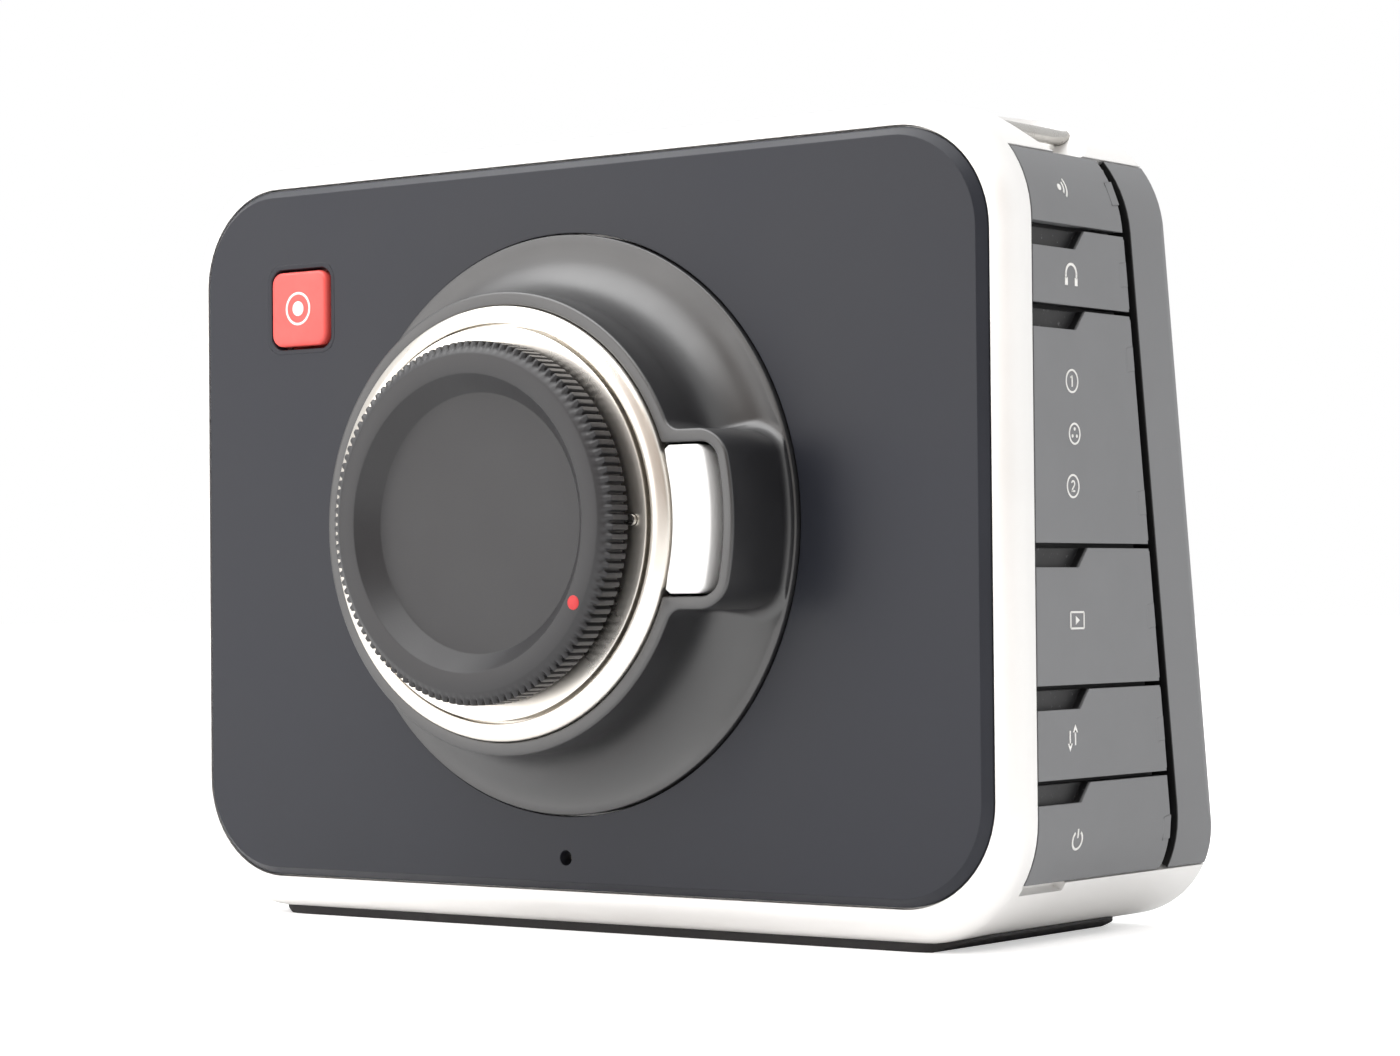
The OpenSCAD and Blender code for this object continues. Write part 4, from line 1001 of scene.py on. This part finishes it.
@dataclass
class Signs:
    """All generic signs: numbers in rings, pictograms at the ports and on the keys, and the record mark."""

    key_row: float = -41.0
    key_level: float = 0.7

    def cover(self, name: str, cover: str, depth: float, height: float) -> Sign:
        """Starts a sign on a cover, at a depth behind the panel's face and a height over the lens axis."""

        def place(u: float, v: float, out: float) -> Point:
            """A point of the field on the cover."""
            z = height + v
            return (BODY.side(z) + out, BODY.front + depth + u, BODY.axis + z)

        return Sign(name, place, f"{cover}_cover_body")

    def rear(self, x: float, level: float) -> Place:
        """Maps a flat field onto a key behind, at x as seen from there and level in front of the shell."""
        sine, cosine = math.sin(math.radians(BODY.tilt)), math.cos(math.radians(BODY.tilt))

        def place(u: float, v: float, out: float) -> Point:
            """A point of the field on the key."""
            up, away = self.key_row + v, level + out
            y = BODY.front + BODY.rear - up * sine + away * cosine
            return (-(x + u), y, BODY.axis + up * cosine + away * sine)

        return place

    def power(self, sign: Sign, middle: float, radius: float, foot: float) -> None:
        """Draws a broken ring with a stroke through its gap."""
        sign.ring((0.0, middle), radius, 125, 290)
        sign.line((0.0, foot), (0.0, 1.7))

    def build(self) -> None:
        """Builds every sign."""
        self.build_audio()
        self.build_ports()
        record_x, record_z = BODY.record
        face = BODY.front - RecordButton.proud
        spot = lambda u, v, out: (record_x + u, face - out, BODY.axis + record_z + v)
        record = Sign("record_mark", spot, "record_button_body", stroke=0.42)
        record.ring((0.0, 0.0), 2.6)
        record.disc((0.0, 0.0), 1.25)
        record.build()
        self.build_key_signs()

    def build_audio(self) -> None:
        """Builds the numbers and the plug on the audio cover."""
        for number, height in ((1, 19.9), (2, 4.3)):
            sign = self.cover(f"audio_number_{number}", "audio", 17.8, height)
            sign.ring((0.0, 0.0), 1.65, thick=0.3)
            if number == 1:
                sign.line((0.05, -0.85), (0.05, 0.85), 0.32)
                sign.line((-0.4, 0.5), (0.05, 0.8), 0.26)
            else:
                sign.ring((0.0, 0.35), 0.42, -35, 200, 0.28)
                sign.line((0.36, 0.12), (-0.45, -0.74), 0.28)
                sign.line((-0.5, -0.74), (0.55, -0.74), 0.28)
            sign.build()
        jack = self.cover("audio_sign", "audio", 18.4, 12.1)
        jack.ring((0.0, 0.0), 1.5, thick=0.3)
        for turn in (90, 210, 330):
            jack.disc((0.7 * math.cos(math.radians(turn)), 0.7 * math.sin(math.radians(turn))), 0.26)
        jack.build()

    def build_ports(self) -> None:
        """Builds the signs on the other covers."""
        phones = self.cover("headphone_sign", "headphone", 17.9, 35.7)
        phones.ring((0.0, 0.1), 1.5, 0, 180, 0.42)
        for side in (-1, 1):
            phones.line((side * 1.4, -1.6), (side * 1.4, -0.4), 0.8)
            phones.line((side * 1.5, -0.5), (side * 1.5, 0.15), 0.42)
        screen = self.cover("video_sign", "video", 18.6, -15.6)
        frame = [(-1.9, -1.2), (1.9, -1.2), (1.9, 1.2), (-1.9, 1.2)]
        for start, end in zip(frame, frame[1:] + frame[:1]):
            screen.line(start, end, 0.3)
        screen.wedge((-0.1, 0.0), 0.75, 0)
        data = self.cover("data_sign", "data", 16.9, -33.0)
        for side in (-1, 1):
            data.line((side * 0.75, -1.1), (side * 0.75, 1.1), 0.34)
            data.wedge((side * 0.75, side * 1.2), 0.8, 90 * side)
        supply = self.cover("supply_sign", "power", 18.4, -48.2)
        self.power(supply, 0.0, 1.35, 0.3)
        remote = self.cover("remote_sign", "remote", 17.3, 48.7)
        remote.disc((-1.2, 0.0), 0.5)
        for radius in (1.2, 2.0):
            remote.ring((-1.2, 0.0), radius, -42, 84, 0.34)
        for sign in (phones, screen, data, supply, remote):
            sign.build()

    def build_key_signs(self) -> None:
        """Builds the signs on the six keys behind."""
        signs = {}
        for name, x in zip(KEYS, (-57.0, -38.0, -9.5, 9.5, 28.5, 57.0)):
            level = self.key_level / 2 if name == "power" else self.key_level
            signs[name] = Sign(f"{name}_key_sign", self.rear(x, level), f"{name}_key_body", stroke=0.4)
        signs["iris"].ring((0.0, 0.0), 1.9)
        signs["iris"].ring((0.0, 0.0), 0.8)
        for x in (-1, 1):
            for z in (-1, 1):
                signs["focus"].line((x * 2.2, z * 1.5), (x * 1.2, z * 1.5))
                signs["focus"].line((x * 2.2, z * 1.6), (x * 2.2, z * 0.7))
        signs["focus"].disc((0.0, 0.0), 0.5)
        signs["play"].wedge((-0.2, 0.0), 1.7, 0)
        for name, side in (("back", -1), ("next", 1)):
            signs[name].wedge((-side * 0.3, 0.0), 1.5, 0 if side > 0 else 180)
            signs[name].line((side * 1.6, -1.3), (side * 1.6, 1.3))
        self.power(signs["power"], -0.1, 1.4, 0.2)
        for sign in signs.values():
            sign.build()


@dataclass(frozen=True)
class SoftBox:
    """One rectangular lamp, in metres and watts."""

    name: str
    place: Point
    size: Flat
    power: float

    def build(self, target: Point) -> None:
        """Sets the lamp up, with its face to the target."""
        data = bpy.data.lights.new(self.name, "AREA")
        data.shape = "RECTANGLE"
        data.size, data.size_y = self.size
        data.energy = self.power
        lamp = put(self.name, data)
        lamp.location = self.place
        lamp.rotation_euler = (Vector(target) - Vector(self.place)).to_track_quat("-Z", "Y").to_euler()


@dataclass
class Studio:
    """Floor, lamps, sky and the camera at the photograph's view."""

    nodes: dict[str, bpy.types.Object]
    sky: float = 1.0
    room: float = 0.5
    bright: Point = (0.05, 0.93, 0.3)
    floor: str = "f4f4f4"
    floor_glow: float = 0.5
    boxes: tuple[SoftBox, ...] = (
        SoftBox("key_box", (-0.8, -1.05, 0.4), (1.1, 1.0), 8.0),
        SoftBox("top_box", (-0.2, -0.35, 0.85), (1.3, 0.75), 10.8),
    )
    film: float = 36.0
    focal_px: float = 3550.64
    photo_px: float = 1400
    eye: Point = (355.8, -462.2, 53.25)
    right: Point = (0.798405, 0.602050, -0.009242)
    forward: Point = (-0.601823, 0.798399, 0.019171)

    def dress_nodes(self) -> None:
        """Gives every CAD node its finish."""
        for finish, names in NODE_FINISHES.items():
            for name in names:
                node = self.nodes[name]
                node.data.materials.clear()
                node.data.materials.append(finish.material())

    def build_floor(self) -> None:
        """Lays the pale floor, whose camera rays add a little white and keep the shadow."""
        mesh = bmesh.new()
        bmesh.ops.create_grid(mesh, x_segments=1, y_segments=1, size=6.0)
        data = bpy.data.meshes.new("floor")
        mesh.to_mesh(data)
        mesh.free()
        floor = put("floor", data)
        # Paper sweep: matt and even, with fibres of about a millimetre that only soften the shadow.
        material = bpy.data.materials.new("white_paper_sweep")
        material.use_nodes = True
        wires = Wiring(material.node_tree)
        place = wires.node("TexCoord").outputs["Object"]
        fibre = wires.node("TexNoise", Vector=place, Scale=900.0, Detail=3.0).outputs[0]
        bump = wires.node("Bump", Height=fibre, Distance=0.05 * MM).outputs[0]
        paper = wires.node("BsdfDiffuse", Color=linear(self.floor), Normal=bump).outputs[0]
        camera_ray = wires.node("LightPath").outputs["Is Camera Ray"]
        strength = wires.calc("MULTIPLY", camera_ray, self.floor_glow)
        glow = wires.node("Emission", Color=(1, 1, 1, 1), Strength=strength).outputs[0]
        both = add(wires.tree, "ShaderNodeAddShader", sockets={0: paper, 1: glow}).outputs[0]
        wires.node("OutputMaterial", Surface=both)
        data.materials.append(material)

    def build_sky(self) -> None:
        """Lights the scene from behind and above, with white for camera and glass rays."""
        world = bpy.data.worlds.new("studio_sky")
        bpy.context.scene.world = world
        world.use_nodes = True
        wires = Wiring(world.node_tree)
        path = wires.node("LightPath").outputs
        seen = wires.calc("MAXIMUM", path["Is Camera Ray"], path["Is Transmission Ray"])
        toward = wires.node("TexCoord").outputs["Generated"]
        slant = wires.dot(toward, self.bright)
        strength = wires.span(slant, (-0.75, 0.35), (self.room, self.sky), "SMOOTHSTEP")
        warm = wires.span(slant, (-0.75, 0.0), (0.0, 1.0), "SMOOTHSTEP")
        tint = wires.blend(warm, linear("e6d2c3"), (1, 1, 1, 1))
        lit = wires.node("Background", Color=tint, Strength=strength).outputs[0]
        white = wires.node("Background", Color=(1, 1, 1, 1), Strength=1.0).outputs[0]
        mixed = add(wires.tree, "ShaderNodeMixShader", sockets={0: seen, 1: lit, 2: white}).outputs[0]
        wires.node("OutputWorld", Surface=mixed)

    def build_camera(self) -> None:
        """Sets the camera where the photograph was taken from."""
        data = bpy.data.cameras.new("view")
        data.sensor_width = self.film
        data.lens = self.film * self.focal_px / self.photo_px
        data.clip_start, data.clip_end = 0.02, 30.0
        camera = put("view", data)
        forward = Vector(self.forward).normalized()
        up = Vector(self.right).normalized().cross(forward).normalized()
        right = forward.cross(up).normalized()
        turn = Matrix((right, up, -forward)).transposed().to_4x4()
        camera.matrix_world = Matrix.Translation(Vector(self.eye) * MM) @ turn
        bpy.context.scene.camera = camera

    def build(self) -> None:
        """Builds the studio and dresses the CAD nodes."""
        self.dress_nodes()
        self.build_floor()
        self.build_sky()
        for box in self.boxes:
            box.build((0.0, 0.0, 0.06))
        self.build_camera()
        bpy.context.scene.view_settings.view_transform = "Standard"


def main() -> None:
    """Builds the studio and the looks in order."""
    logging.basicConfig(level=logging.INFO, format="%(name)s: %(message)s")
    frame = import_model()
    Studio(frame["nodes"]).build()
    for part in (Turret(), TrimRing(), BodyCap(), ReleaseButton(), RecordButton(), HingeSkins(), Signs()):
        part.build()
    LOG.info("studio and %d CAD nodes dressed", len(frame["nodes"]))


if __name__ == "__main__":
    main()
